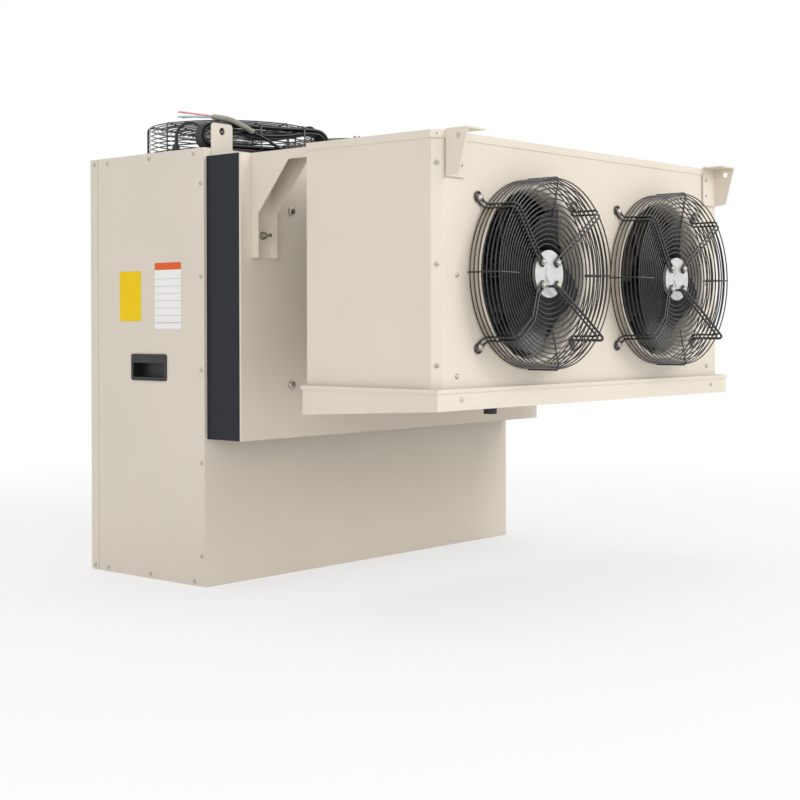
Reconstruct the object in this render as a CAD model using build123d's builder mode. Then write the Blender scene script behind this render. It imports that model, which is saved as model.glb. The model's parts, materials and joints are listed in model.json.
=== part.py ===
"""Monoblock freezer unit: condensing cabinet, insulated wall plug and evaporator box."""

import os
from math import cos, pi, radians, sin, tan

from build123d import *

os.makedirs("parts", exist_ok=True)

# Frame: origin at the centre of the cabinet's underside, X across the width,
# the evaporator blows towards -Y, Z up. Millimetres.

# Sheet metal and clearances
sheet = 1.5
seat_gap = 0.3
hole_clearance = 1.0
pipe_clearance = 2.0

# Cabinet
cabinet_width = 1118.0
cabinet_depth = 417.0
cabinet_height = 998.0
panel_lift = 1.0
panel_flange = 22.0
corner_wrap = 30.0
corner_lap = 3.0
joggle_depth = 20.0
base_sheet = 2.0
base_flange = 30.0
vent_rows = 7
vent_columns = 3
vent_room = 149.0
vent_gap = 80.0
vent_height = 7.0
vent_pitch = 28.0

# Wall plug
plug_inset = 7.5
plug_drop = 19.5
plug_height = 642.0
plug_depth = 114.0
plug_band = 8.0
plug_lip = 5.0

# Evaporator box
evaporator_inset = 5.5
evaporator_depth = 360.6
wall_to_evaporator = 209.0
roof_rise = 3.0
roof_lip = 16.0
corner_chamfer = 16.0
front_flange = 20.0
body_drop = 529.5

# Drip tray
tray_overhang = 12.4
tray_lap = 15.0
tray_front_height = 43.3
tray_rear_height = 62.2
tray_hem = 2.5
tray_hem_height = 8.0
drain_inset = 60.0
drain_radius = 16.0
drain_wall = 2.0
drain_length = 22.0
drain_collar = 4.0
drain_collar_drop = 4.8

# Coils
coil_window_margin = 12.0
evaporator_coil_room = 103.5
evaporator_coil_lift = 48.0
evaporator_coil_height = 420.0
evaporator_coil_depth = 66.0
condenser_coil_room = 69.0
condenser_coil_bottom = 410.0
condenser_coil_head = 68.0
condenser_coil_depth = 44.0
coil_plate = 2.0
tube_radius = 4.8
tube_pitch = 50.0
fin_pitch = 30.0
heater_radius = 4.0
heater_rows = 3
heater_first = 60.0
heater_pitch = 150.0

# Fans
guard_radius = 200.0
guard_wire = 4.0
guard_face_rings = 4
guard_side_rings = 4
guard_inner_radius = 62.0
tie_wire = 3.2
tie_inset = 1.0
tie_reach = 118.0
weld = 0.6
orifice_radius = 178.0
orifice_depth = 32.0
blade_tip_radius = 172.0
blade_tip_trim = 14.0
blade_root_radius = 44.0
blade_count = 5
blade_sections = 4
blade_thickness = 3.0
blade_root_chord = 74.0
blade_tip_chord = 150.0
blade_root_pitch = 46.0
blade_tip_pitch = 22.0
blade_sweep = 38.0
blade_mid = -14.0
blade_swing = 80.0
rotor_radius = 46.0
rotor_wall = 2.0
rotor_front = 46.0
rotor_rear = -42.0
stator_radius = 36.0
stator_gap = 6.0
shaft_radius = 6.0
shaft_clearance = 0.05
shaft_end = 12.0
plate_radius = 50.0
plate_front = 58.0
plate_rear = 50.0
boss_width = 13.0
boss_height = 18.0
boss_rise = 2.5
arm_wire = 4.6
arm_spread = 11.0
arm_tip = 8.0
arm_lead_in = 22.0
arm_loop = 8.0
arm_screw_x = 167.0
arm_screw_z = 152.0
arm_screw_radius = 3.0
arm_front = 88.0
arm_bolt_radius = 36.0
hub_bolt_head = 7.5
hub_bolt_height = 6.0
hub_bolt_dome = 4.0
evaporator_fan_shift = 21.35
evaporator_fan_lift = 249.2
condenser_fan_inset = 269.0
condenser_fan_spacing = 460.0

# Brackets, lugs and handles
hanger_offset = 32.5
hanger_width = 60.0
hanger_foot_drop = 233.0
hanger_knee_drop = 134.5
hanger_foot_depth = 21.0
hanger_arm_height = 21.5
hanger_elbow = 117.0
hanger_overlap = 120.0
hanger_sheet = 3.0
stud_drop = 182.5
stud_radius = 4.0
stud_reach = 30.0
washer_radius = 9.0
washer_sheet = 2.0
nut_across = 13.0
nut_height = 8.0
dome_inset = 156.0
dome_low = 120.5
dome_high = 121.5
dome_radius = 10.0
dome_height = 7.0
dome_round = 5.0
front_bracket_offset = 25.9
front_bracket_width = 59.0
front_bracket_rise = 3.3
front_bracket_height = 94.8
front_bracket_reach = 57.0
front_bracket_foot_reach = 33.0
front_bracket_foot_lift = 4.0
front_bracket_hole_radius = 6.5
front_bracket_hole_reach = 32.0
front_bracket_hole_drop = 17.3
front_bracket_sheet = 3.0
lug_offset = 52.7
lug_width = 63.0
lug_rise = 58.0
lug_lap = 17.0
lug_corner = 8.0
lug_sheet = 3.0
lug_hole_radius = 8.5
lug_hole_rise = 40.0
handle_length = 119.5
handle_height = 53.5
handle_front = 135.5
handle_bottom = 469.8
handle_pocket = 26.0
handle_flange = 9.0
handle_wall = 2.5
handle_corner = 6.0
handle_grip = 14.0

# Planes of the main faces
half_width = cabinet_width / 2
front_y = -cabinet_depth / 2
rear_y = cabinet_depth / 2
plug_half = half_width - plug_inset
plug_top = cabinet_height - plug_drop
plug_bottom = plug_top - plug_height
plug_face_y = front_y - plug_depth
evaporator_half = half_width - evaporator_inset
evaporator_rear_y = plug_face_y - wall_to_evaporator
evaporator_front_y = evaporator_rear_y - evaporator_depth
roof_top = plug_top + roof_rise
roof_half = evaporator_half + sheet + seat_gap
roof_front_y = evaporator_front_y - sheet - seat_gap
body_top = roof_top - sheet - seat_gap
body_bottom = roof_top - body_drop
top_inset = 2 * sheet + 2 * seat_gap
evaporator_fan_x = evaporator_half / 2 - evaporator_fan_shift
evaporator_fans = {
    side: Plane(
        (sign * evaporator_fan_x, evaporator_front_y, body_bottom + evaporator_fan_lift),
        x_dir=(1, 0, 0), z_dir=(0, -1, 0),
    )
    for side, sign in (("left", -1), ("right", 1))
}
condenser_fans = {
    side: Plane((condenser_fan_inset - half_width + step * condenser_fan_spacing, 0, cabinet_height))
    for side, step in (("left", 0), ("right", 1))
}

# Coil sizes
condenser_coil_width = 2 * (half_width - condenser_coil_room)
condenser_coil_height = cabinet_height - condenser_coil_bottom - condenser_coil_head
evaporator_coil_width = 2 * (evaporator_half - evaporator_coil_room)
evaporator_coil_bottom = body_bottom + evaporator_coil_lift

# Pipes between the cabinet and the evaporator, through the plug
suction_radius = 11.0
liquid_radius = 6.0
pipe_inset = 38.5
pipe_x = evaporator_half - pipe_inset
suction_height = body_bottom + 238.0
liquid_height = body_bottom + 178.0


def write(piece, name):
    """Names a finished piece and writes it."""
    piece.label = name
    export_step(piece, f"parts/{name}.step")


# Base pan: folded tray that carries the compressor and receiver
pan_width = cabinet_width - 2 * top_inset
pan_depth = cabinet_depth - 2 * (sheet + seat_gap)
with BuildPart() as base_pan:
    with BuildSketch():
        Rectangle(pan_width, pan_depth)
    extrude(amount=base_flange)
    offset(amount=-base_sheet, openings=base_pan.faces().sort_by(Axis.Z)[-1])
write(base_pan.part, "base_pan")

# Side panels, with the opening for the recessed handle
handle_y = front_y + handle_front + handle_length / 2
handle_z = handle_bottom + handle_height / 2
for side, name in ((-1, "cabinet_left_panel"), (1, "cabinet_right_panel")):
    panel_rear = rear_y - corner_wrap - seat_gap
    with BuildPart() as side_panel:
        with BuildSketch(Plane.YZ.offset(side * (half_width - sheet / 2))):
            with Locations(((front_y + panel_rear) / 2, (cabinet_height + panel_lift) / 2)):
                Rectangle(panel_rear - front_y, cabinet_height - panel_lift)
            with Locations((handle_y, handle_z)):
                Rectangle(handle_length, handle_height, mode=Mode.SUBTRACT)
        extrude(amount=sheet / 2, both=True)
    write(side_panel.part, name)

# Recessed handles: a flanged pocket set into each side panel, with a finger lip along its top
for side, name in ((-1, "left_handle"), (1, "right_handle")):
    face = Plane((side * half_width, handle_y, handle_z), (0, side, 0), (side, 0, 0))
    pocket_length = handle_length - 2 * hole_clearance
    pocket_height = handle_height - 2 * hole_clearance
    mouth_length = pocket_length - 2 * handle_wall
    mouth_height = pocket_height - 2 * handle_wall
    with BuildPart() as handle:
        with BuildSketch(face.offset(seat_gap)):
            RectangleRounded(handle_length + handle_flange, handle_height + handle_flange, handle_corner)
        extrude(amount=handle_wall)
        with BuildSketch(face.offset(seat_gap)):
            RectangleRounded(pocket_length, pocket_height, handle_corner - 2)
        extrude(amount=-handle_pocket)
        with BuildSketch(face.offset(seat_gap + handle_wall)):
            RectangleRounded(mouth_length, mouth_height, handle_corner - 3)
        extrude(amount=-handle_pocket, mode=Mode.SUBTRACT)
        with BuildSketch(face.offset(seat_gap + handle_wall)):
            with Locations((0, (mouth_height - handle_grip) / 2 + 1)):
                Rectangle(mouth_length + 1, handle_grip)
        extrude(amount=-handle_wall)
    write(handle.part, name)

# Front panel: a sheet folded back along both sides, with holes for the two pipes
front_half = half_width - sheet - seat_gap
with BuildPart() as front_panel:
    with BuildSketch(Plane.XY.offset(panel_lift)):
        with BuildLine():
            Polyline(
                (-front_half + sheet / 2, front_y + panel_flange),
                (-front_half + sheet / 2, front_y + sheet / 2),
                (front_half - sheet / 2, front_y + sheet / 2),
                (front_half - sheet / 2, front_y + panel_flange),
            )
        trace(line_width=sheet)
    extrude(amount=cabinet_height - panel_lift)
    with BuildSketch(Plane.XZ.offset(-front_y)):
        with Locations((pipe_x, suction_height)):
            Circle(suction_radius + pipe_clearance)
        with Locations((pipe_x, liquid_height)):
            Circle(liquid_radius + pipe_clearance)
    extrude(amount=2 * sheet, both=True, mode=Mode.SUBTRACT)
write(front_panel.part, "cabinet_front_panel")

# Rear panel: wraps both rear corners, joggles in behind the side panels
# and leaves the condenser coil open to the air
wrap_x = half_width - sheet / 2
tuck_x = wrap_x - sheet - seat_gap
vent_span = 2 * (half_width - vent_room)
vent_length = (vent_span - (vent_columns - 1) * vent_gap) / vent_columns
with BuildPart() as rear_panel:
    with BuildSketch(Plane.XY.offset(panel_lift)):
        with BuildLine():
            Polyline(
                (-tuck_x, rear_y - corner_wrap - joggle_depth),
                (-tuck_x, rear_y - corner_wrap + corner_lap),
                (-wrap_x, rear_y - corner_wrap + corner_lap),
                (-wrap_x, rear_y - sheet / 2),
                (wrap_x, rear_y - sheet / 2),
                (wrap_x, rear_y - corner_wrap + corner_lap),
                (tuck_x, rear_y - corner_wrap + corner_lap),
                (tuck_x, rear_y - corner_wrap - joggle_depth),
            )
        trace(line_width=sheet)
    extrude(amount=cabinet_height - panel_lift)
    with BuildSketch(Plane.XZ.offset(-rear_y)):
        with Locations((0, condenser_coil_bottom + condenser_coil_height / 2)):
            Rectangle(
                condenser_coil_width - 2 * coil_window_margin,
                condenser_coil_height - 2 * coil_window_margin,
            )
        with Locations((0, condenser_coil_bottom / 2)):
            with GridLocations(vent_length + vent_gap, vent_pitch, vent_columns, vent_rows):
                Rectangle(vent_length, vent_height)
    extrude(amount=4 * sheet, both=True, mode=Mode.SUBTRACT)
write(rear_panel.part, "cabinet_rear_panel")

# Top panel: a lid nested inside the four walls, with a collar round each fan opening
top_width = cabinet_width - 2 * top_inset
top_depth = cabinet_depth - 2 * (sheet + seat_gap)
gland_inset = 45.0
gland_setback = 150.0
gland_radius = 8.0
gland_x = -half_width + gland_inset
gland_y = front_y + gland_setback
with BuildPart() as top_panel:
    with BuildSketch(Plane.XY.offset(cabinet_height - panel_flange)):
        Rectangle(top_width, top_depth)
    extrude(amount=panel_flange)
    offset(amount=-sheet, openings=top_panel.faces().sort_by(Axis.Z)[0])
    for seat in condenser_fans.values():
        with BuildSketch(seat):
            Circle(orifice_radius + sheet)
        extrude(amount=-orifice_depth)
        with BuildSketch(seat):
            Circle(orifice_radius)
        extrude(amount=-2 * orifice_depth, mode=Mode.SUBTRACT)
    with BuildSketch(Plane.XY.offset(cabinet_height)):
        with Locations((gland_x, gland_y)):
            Circle(gland_radius + seat_gap)
    extrude(amount=-2 * sheet, mode=Mode.SUBTRACT)
write(top_panel.part, "cabinet_top_panel")

# Condenser coil behind the rear window: fin pack, end plates and return bends
condenser_coil_y = rear_y - sheet - seat_gap - condenser_coil_depth / 2
evaporator_coil_y = evaporator_rear_y - sheet - seat_gap - evaporator_coil_depth / 2
coils = {
    "condenser": (
        condenser_coil_y, condenser_coil_bottom,
        condenser_coil_width, condenser_coil_height, condenser_coil_depth,
    ),
    "evaporator": (
        evaporator_coil_y, evaporator_coil_bottom,
        evaporator_coil_width, evaporator_coil_height, evaporator_coil_depth,
    ),
}
for name, (coil_y, coil_bottom, coil_width, coil_height, coil_depth) in coils.items():
    coil_z = coil_bottom + coil_height / 2
    pack_width = coil_width - 2 * coil_plate - 2 * seat_gap
    fin_count = int(pack_width // fin_pitch)
    with BuildPart() as fins:
        with BuildSketch(Plane.XY.offset(coil_bottom)):
            with Locations((0, coil_y)):
                with GridLocations(fin_pitch, 0, fin_count, 1):
                    Rectangle(coil_plate, coil_depth)
        extrude(amount=coil_height)
        with BuildSketch(
            Plane.XY.offset(coil_bottom), Plane.XY.offset(coil_bottom + coil_height - coil_plate),
        ):
            with Locations((0, coil_y)):
                Rectangle(pack_width, coil_depth)
        extrude(amount=coil_plate)
    write(fins.part, f"{name}_fins")
    bend_count = int(coil_height // (2 * tube_pitch))
    with BuildPart() as coil_ends:
        for side in (-1, 1):
            with BuildSketch(Plane.YZ.offset(side * (coil_width - coil_plate) / 2)):
                with Locations((coil_y, coil_z)):
                    Rectangle(coil_depth, coil_height)
            extrude(amount=coil_plate / 2, both=True)
            end_x = side * (coil_width / 2 + seat_gap)
            for index in range(bend_count):
                low_z = coil_bottom + tube_pitch / 2 + index * 2 * tube_pitch
                with BuildLine() as bend_path:
                    ThreePointArc(
                        (end_x, coil_y, low_z),
                        (end_x + side * tube_pitch / 2, coil_y, low_z + tube_pitch / 2),
                        (end_x, coil_y, low_z + tube_pitch),
                    )
                with BuildSketch(Plane((end_x, coil_y, low_z), (0, 1, 0), (side, 0, 0))):
                    Circle(tube_radius)
                sweep(path=bend_path.line)
    write(coil_ends.part, f"{name}_coil_ends")

# Compressor: hermetic shell with domed ends on a foot plate with rubber mounts
compressor_x = 150.0
compressor_y = 40.0
compressor_radius = 82.0
compressor_height = 330.0
mount_height = 22.0
mount_radius = 14.0
mount_spacing = 190.0
foot_plate = 6.0
compressor_floor = base_sheet + mount_height + 2 * seat_gap
compressor_dome = 42.0
mount_hole = 5.5
foot_width = mount_spacing + 2 * mount_radius
terminal_width = 70.0
terminal_height = 84.0
terminal_reach = 30.0
terminal_lift = 200.0
terminal_sink = 8.0
with BuildPart() as compressor:
    with BuildSketch(Plane.XY.offset(compressor_floor)):
        with Locations((compressor_x, compressor_y)):
            RectangleRounded(foot_width, foot_width, mount_radius)
    extrude(amount=foot_plate)
    with BuildSketch(Plane.XY.offset(compressor_floor)):
        with Locations((compressor_x, compressor_y)):
            with GridLocations(mount_spacing, mount_spacing, 2, 2):
                Circle(mount_hole)
    extrude(amount=foot_plate, mode=Mode.SUBTRACT)
    with BuildSketch(Plane.XY.offset(compressor_floor + foot_plate)):
        with Locations((compressor_x, compressor_y)):
            Circle(compressor_radius)
    extrude(amount=compressor_height)
    fillet(compressor.faces().sort_by(Axis.Z)[-1].edges(), compressor_dome)
    with BuildSketch(Plane.YZ.offset(compressor_x + compressor_radius - terminal_sink)):
        with Locations((compressor_y, compressor_floor + terminal_lift)):
            RectangleRounded(terminal_width, terminal_height, terminal_sink)
    extrude(amount=terminal_sink + terminal_reach)
write(compressor.part, "compressor")

with BuildPart() as compressor_mounts:
    with BuildSketch(Plane.XY.offset(base_sheet + seat_gap)):
        with Locations((compressor_x, compressor_y)):
            with GridLocations(mount_spacing, mount_spacing, 2, 2):
                Circle(mount_radius)
    extrude(amount=mount_height)
write(compressor_mounts.part, "compressor_mounts")

# Liquid receiver: a drum with domed ends on two saddles
receiver_radius = 60.0
receiver_length = 330.0
receiver_x = -230.0
receiver_y = 110.0
receiver_axis = 105.0
receiver_dome = 33.0
saddle_width = 24.0
saddle_depth = 90.0
saddle_reach = 90.0
receiver_seat = Plane((receiver_x - receiver_length / 2, receiver_y, receiver_axis), (0, 1, 0), (1, 0, 0))
with BuildPart() as receiver:
    with BuildSketch(receiver_seat):
        Circle(receiver_radius)
    extrude(amount=receiver_length)
    fillet(receiver.edges().filter_by(GeomType.CIRCLE), receiver_dome)
write(receiver.part, "liquid_receiver")

with BuildPart() as saddles:
    for side in (-1, 1):
        with BuildSketch(Plane.YZ.offset(receiver_x + side * saddle_reach - saddle_width / 2)):
            with Locations((receiver_y, (base_sheet + seat_gap + receiver_axis) / 2)):
                Rectangle(saddle_depth, receiver_axis - base_sheet - seat_gap)
            with Locations((receiver_y, receiver_axis)):
                Circle(receiver_radius + seat_gap, mode=Mode.SUBTRACT)
        extrude(amount=saddle_width)
write(saddles.part, "receiver_saddles")

# Filter drier in the liquid line
drier_radius = 21.0
drier_length = 110.0
drier_neck = 13.0
drier_shoulder = 12.0
drier_collar = liquid_radius + 2
drier_y = front_y + 80.0
drier_bottom = liquid_height - 180.0
drier_top = drier_bottom + 2 * drier_neck + drier_length + drier_shoulder
with BuildPart() as drier:
    with BuildSketch(Plane((pipe_x, drier_y, 0), x_dir=(1, 0, 0), z_dir=(0, -1, 0))):
        with BuildLine():
            Polyline(
                (0, drier_bottom), (drier_collar, drier_bottom), (drier_collar, drier_bottom + drier_neck),
                (drier_radius, drier_bottom + drier_neck + drier_shoulder),
                (drier_radius, drier_top - drier_neck - drier_shoulder),
                (drier_collar, drier_top - drier_neck), (drier_collar, drier_top),
                (0, drier_top), close=True,
            )
        make_face()
    revolve(axis=Axis((pipe_x, drier_y, 0), (0, 0, 1)))
write(drier.part, "filter_drier")

# Refrigerant pipes
header_top = evaporator_coil_bottom + evaporator_coil_height - 20.0
valve_y = evaporator_rear_y - 30.0
valve_radius = 18.0
valve_hex = 13.0
valve_height = 36.0
valve_dome = 10.0
valve_outlet_radius = 5.0
valve_outlet = 60.0
pipe_bend = 28.0
riser_x = half_width - 174.0
riser_height = drier_bottom - 45.0
receiver_turn_x = 0.0
port_spacing = 40.0
discharge_radius = 8.0
discharge_height = 560.0
suction_port_x = compressor_x + port_spacing / 2
discharge_port_x = compressor_x - port_spacing / 2
compressor_top = compressor_floor + foot_plate + compressor_height


def pipe(name, points, radius):
    """A pipe of round section along straight runs with equal bends."""
    with BuildPart() as run:
        with BuildLine() as route:
            FilletPolyline(*points, radius=pipe_bend)
        with BuildSketch(Plane(points[0], z_dir=Vector(*points[1]) - Vector(*points[0]))):
            Circle(radius)
        sweep(path=route.line)
    write(run.part, name)


pipe("suction_pipe", (
    (pipe_x, evaporator_coil_y, header_top), (pipe_x, evaporator_coil_y, suction_height),
    (pipe_x, drier_y, suction_height), (suction_port_x, drier_y, suction_height),
    (suction_port_x, compressor_y, suction_height),
    (suction_port_x, compressor_y, compressor_top + seat_gap),
), suction_radius)
pipe("liquid_pipe", (
    (pipe_x, valve_y + valve_hex + seat_gap, liquid_height), (pipe_x, drier_y, liquid_height),
    (pipe_x, drier_y, drier_top + seat_gap),
), liquid_radius)
pipe("receiver_pipe", (
    (pipe_x, drier_y, drier_bottom - seat_gap), (pipe_x, drier_y, riser_height),
    (riser_x, drier_y, riser_height), (riser_x, drier_y, receiver_axis),
    (receiver_turn_x, drier_y, receiver_axis), (receiver_turn_x, receiver_y, receiver_axis),
    (receiver_x + receiver_length / 2 + seat_gap, receiver_y, receiver_axis),
), liquid_radius)
pipe("discharge_pipe", (
    (discharge_port_x, compressor_y, compressor_top + seat_gap),
    (discharge_port_x, compressor_y, discharge_height),
    (discharge_port_x, condenser_coil_y - condenser_coil_depth / 2 - seat_gap, discharge_height),
), discharge_radius)

# Control box with a screwed cover on the right-hand side
control_width = 250.0
control_height = 300.0
control_depth = 110.0
control_wall = 2.5
control_corner = 6.0
control_cover_sheet = 4.0
control_inner_x = half_width - sheet - seat_gap - control_depth
control_y = 27.0
control_bottom = 90.0
with BuildPart() as control_box:
    with BuildSketch(Plane.YZ.offset(control_inner_x)):
        with Locations((control_y, control_bottom + control_height / 2)):
            RectangleRounded(control_width, control_height, control_corner)
    extrude(amount=control_depth)
    offset(amount=-control_wall, openings=control_box.faces().sort_by(Axis.X)[0])
write(control_box.part, "control_box")

with BuildPart() as control_cover:
    with BuildSketch(Plane.YZ.offset(control_inner_x - seat_gap)):
        with Locations((control_y, control_bottom + control_height / 2)):
            RectangleRounded(control_width, control_height, control_corner)
    extrude(amount=-control_cover_sheet)
write(control_cover.part, "control_box_cover")

# Wall plug: foam core, black band round its edge and a lipped front cover
plug_width = 2 * plug_half
plug_z = (plug_top + plug_bottom) / 2
core_front = plug_face_y + sheet + seat_gap
core_depth = front_y - seat_gap - core_front
plug_back = Plane.XZ.offset(-(front_y - seat_gap))
with BuildPart() as plug_core:
    with BuildSketch(plug_back):
        with Locations((0, plug_z)):
            Rectangle(plug_width - 2 * plug_band, plug_height - 2 * plug_band)
        with Locations((pipe_x, suction_height)):
            Circle(suction_radius + pipe_clearance, mode=Mode.SUBTRACT)
        with Locations((pipe_x, liquid_height)):
            Circle(liquid_radius + pipe_clearance, mode=Mode.SUBTRACT)
    extrude(amount=core_depth)
write(plug_core.part, "plug_core")

with BuildPart() as plug_seal:
    with BuildSketch(plug_back):
        with Locations((0, plug_z)):
            Rectangle(plug_width, plug_height)
            Rectangle(
                plug_width - 2 * plug_band + 2 * seat_gap,
                plug_height - 2 * plug_band + 2 * seat_gap,
                mode=Mode.SUBTRACT,
            )
    extrude(amount=plug_depth - plug_lip - 2 * seat_gap)
write(plug_seal.part, "plug_band")

with BuildPart() as plug_cover:
    with BuildSketch(Plane.XZ.offset(-plug_face_y)):
        with Locations((0, plug_z)):
            Rectangle(plug_width, plug_height)
    extrude(amount=-plug_lip)
    with BuildSketch(Plane.XZ.offset(-(plug_face_y + plug_lip))):
        with Locations((0, plug_z)):
            Rectangle(plug_width - 2 * sheet, plug_height - 2 * sheet)
    extrude(amount=plug_lip - sheet, mode=Mode.SUBTRACT)
    with BuildSketch(Plane.XZ.offset(-plug_face_y)):
        with Locations((pipe_x, suction_height)):
            Circle(suction_radius + pipe_clearance)
        with Locations((pipe_x, liquid_height)):
            Circle(liquid_radius + pipe_clearance)
    extrude(amount=-plug_lip, mode=Mode.SUBTRACT)
write(plug_cover.part, "plug_cover")

# Hanger brackets: channels that carry the evaporator from the plug
hanger_top = body_top
hanger_foot = plug_top - hanger_foot_drop
hanger_knee = plug_top - hanger_knee_drop
hanger_arm_bottom = hanger_top - hanger_arm_height
hanger_mid = plug_half - hanger_offset - hanger_width / 2
hanger_start_y = plug_face_y - seat_gap
hanger_end_y = evaporator_rear_y - hanger_overlap
hanger_knee_y = hanger_start_y - hanger_foot_depth
hanger_elbow_y = hanger_start_y - hanger_elbow
stud_height = plug_top - stud_drop
past = 1.0
for side, name in ((-1, "left_hanger"), (1, "right_hanger")):
    with BuildPart() as hanger:
        with BuildSketch(Plane.YZ.offset(side * hanger_mid)):
            with BuildLine():
                Polyline(
                    (hanger_start_y, hanger_foot), (hanger_knee_y, hanger_foot),
                    (hanger_knee_y, hanger_knee), (hanger_elbow_y, hanger_arm_bottom),
                    (hanger_end_y, hanger_arm_bottom), (hanger_end_y, hanger_top),
                    (hanger_start_y, hanger_top), close=True,
                )
            make_face()
        extrude(amount=hanger_width / 2, both=True)
        with BuildSketch(Plane.YZ.offset(side * hanger_mid)):
            with BuildLine():
                Polyline(
                    (hanger_start_y - hanger_sheet, hanger_foot - past),
                    (hanger_knee_y - past, hanger_foot - past),
                    (hanger_knee_y - past, hanger_knee),
                    (hanger_elbow_y - past, hanger_arm_bottom - past),
                    (hanger_end_y - past, hanger_arm_bottom - past),
                    (hanger_end_y - past, hanger_top - hanger_sheet),
                    (hanger_start_y - hanger_sheet, hanger_top - hanger_sheet), close=True,
                )
            make_face()
        extrude(amount=hanger_width / 2 - hanger_sheet, both=True, mode=Mode.SUBTRACT)
        with BuildSketch(Plane.XZ.offset(-hanger_start_y)):
            with Locations((side * hanger_mid, stud_height)):
                Circle(stud_radius + hole_clearance)
        extrude(amount=hanger_sheet, mode=Mode.SUBTRACT)
    write(hanger.part, name)

# Plug fasteners: studs with washers and nuts through the hangers, and four domed nuts
dome_spread = 2 * (plug_half - dome_inset)
dome_rise = plug_height - dome_low - dome_high
washer_y = hanger_start_y - hanger_sheet - seat_gap
with BuildPart() as plug_fasteners:
    with BuildSketch(Plane.XZ.offset(-plug_face_y + seat_gap)):
        with Locations((0, plug_bottom + dome_low + dome_rise / 2)):
            with GridLocations(dome_spread, dome_rise, 2, 2):
                Circle(dome_radius)
    extrude(amount=dome_height)
    fillet(plug_fasteners.edges().filter_by(GeomType.CIRCLE).group_by(Axis.Y)[0], dome_round)
    with BuildSketch(Plane.XZ.offset(-hanger_start_y)):
        with Locations((-hanger_mid, stud_height), (hanger_mid, stud_height)):
            Circle(stud_radius)
    extrude(amount=stud_reach)
    with BuildSketch(Plane.XZ.offset(-washer_y)):
        with Locations((-hanger_mid, stud_height), (hanger_mid, stud_height)):
            Circle(washer_radius)
    extrude(amount=washer_sheet)
    with BuildSketch(Plane.XZ.offset(-washer_y + washer_sheet)):
        with Locations((-hanger_mid, stud_height), (hanger_mid, stud_height)):
            RegularPolygon(nut_across / 2, 6, major_radius=False)
    extrude(amount=nut_height)
write(plug_fasteners.part, "plug_fasteners")

# Evaporator roof: a lid turned down over the sides and front, open at the rear
with BuildPart() as roof:
    with BuildSketch(Plane.XY.offset(roof_top)):
        with BuildLine():
            Polyline(
                (-roof_half, evaporator_rear_y), (-roof_half, roof_front_y + corner_chamfer),
                (-roof_half + corner_chamfer, roof_front_y), (roof_half - corner_chamfer, roof_front_y),
                (roof_half, roof_front_y + corner_chamfer), (roof_half, evaporator_rear_y), close=True,
            )
        make_face()
    extrude(amount=-roof_lip)
    offset(
        amount=-sheet,
        openings=[roof.faces().sort_by(Axis.Z)[0], roof.faces().sort_by(Axis.Y)[-1]],
    )
write(roof.part, "evaporator_roof")

# Evaporator sides and front: the front panel wraps both corners at 45 degrees
strip_y = evaporator_front_y + corner_chamfer
wrap_half = evaporator_half - sheet - seat_gap - sheet / 2
for side, name in ((-1, "evaporator_left_side"), (1, "evaporator_right_side")):
    with BuildPart() as evaporator_side:
        with BuildSketch(Plane.YZ.offset(side * (evaporator_half - sheet / 2))):
            with Locations(((strip_y + seat_gap + evaporator_rear_y) / 2, (body_top + body_bottom) / 2)):
                Rectangle(evaporator_rear_y - strip_y - seat_gap, body_top - body_bottom)
        extrude(amount=sheet / 2, both=True)
    write(evaporator_side.part, name)

front_face_y = evaporator_front_y + sheet / 2
with BuildPart() as evaporator_front:
    with BuildSketch(Plane.XY.offset(body_bottom)):
        with BuildLine():
            Polyline(
                (-wrap_half, strip_y + front_flange), (-wrap_half, strip_y),
                (-wrap_half + corner_chamfer, front_face_y), (wrap_half - corner_chamfer, front_face_y),
                (wrap_half, strip_y), (wrap_half, strip_y + front_flange),
            )
        trace(line_width=sheet)
    extrude(amount=body_top - body_bottom)
    for seat in evaporator_fans.values():
        with BuildSketch(seat):
            Circle(orifice_radius + sheet)
        extrude(amount=-orifice_depth)
        with BuildSketch(seat):
            Circle(orifice_radius)
        extrude(amount=-2 * orifice_depth, mode=Mode.SUBTRACT)
write(evaporator_front.part, "evaporator_front")

# Rear frame round the evaporator coil, with notches for the hangers
with BuildPart() as rear_frame:
    with BuildSketch(Plane.XY.offset(body_bottom)):
        with BuildLine():
            Polyline(
                (-wrap_half, evaporator_rear_y - front_flange), (-wrap_half, evaporator_rear_y - sheet / 2),
                (wrap_half, evaporator_rear_y - sheet / 2), (wrap_half, evaporator_rear_y - front_flange),
            )
        trace(line_width=sheet)
    extrude(amount=body_top - body_bottom)
    with BuildSketch(Plane.XZ.offset(-evaporator_rear_y)):
        with Locations((0, evaporator_coil_bottom + evaporator_coil_height / 2)):
            Rectangle(
                evaporator_coil_width - 2 * coil_window_margin,
                evaporator_coil_height - 2 * coil_window_margin,
            )
        for side in (-1, 1):
            with Locations((side * hanger_mid, body_top)):
                Rectangle(hanger_width + 2 * hole_clearance, 2 * (hanger_arm_height + hole_clearance))
        with Locations((pipe_x, suction_height)):
            Circle(suction_radius + pipe_clearance)
        with Locations((pipe_x, liquid_height)):
            Circle(liquid_radius + pipe_clearance)
    extrude(amount=2 * sheet, both=True, mode=Mode.SUBTRACT)
write(rear_frame.part, "evaporator_rear_frame")

# Defrost heaters clipped to the front of the evaporator coil
heater_y = evaporator_coil_y - evaporator_coil_depth / 2 - heater_radius - seat_gap
with BuildPart() as heaters:
    with BuildSketch(Plane.YZ.offset(-evaporator_coil_width / 2)):
        for row in range(heater_rows):
            with Locations((heater_y, evaporator_coil_bottom + heater_first + row * heater_pitch)):
                Circle(heater_radius)
    extrude(amount=evaporator_coil_width)
write(heaters.part, "defrost_heaters")

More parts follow.
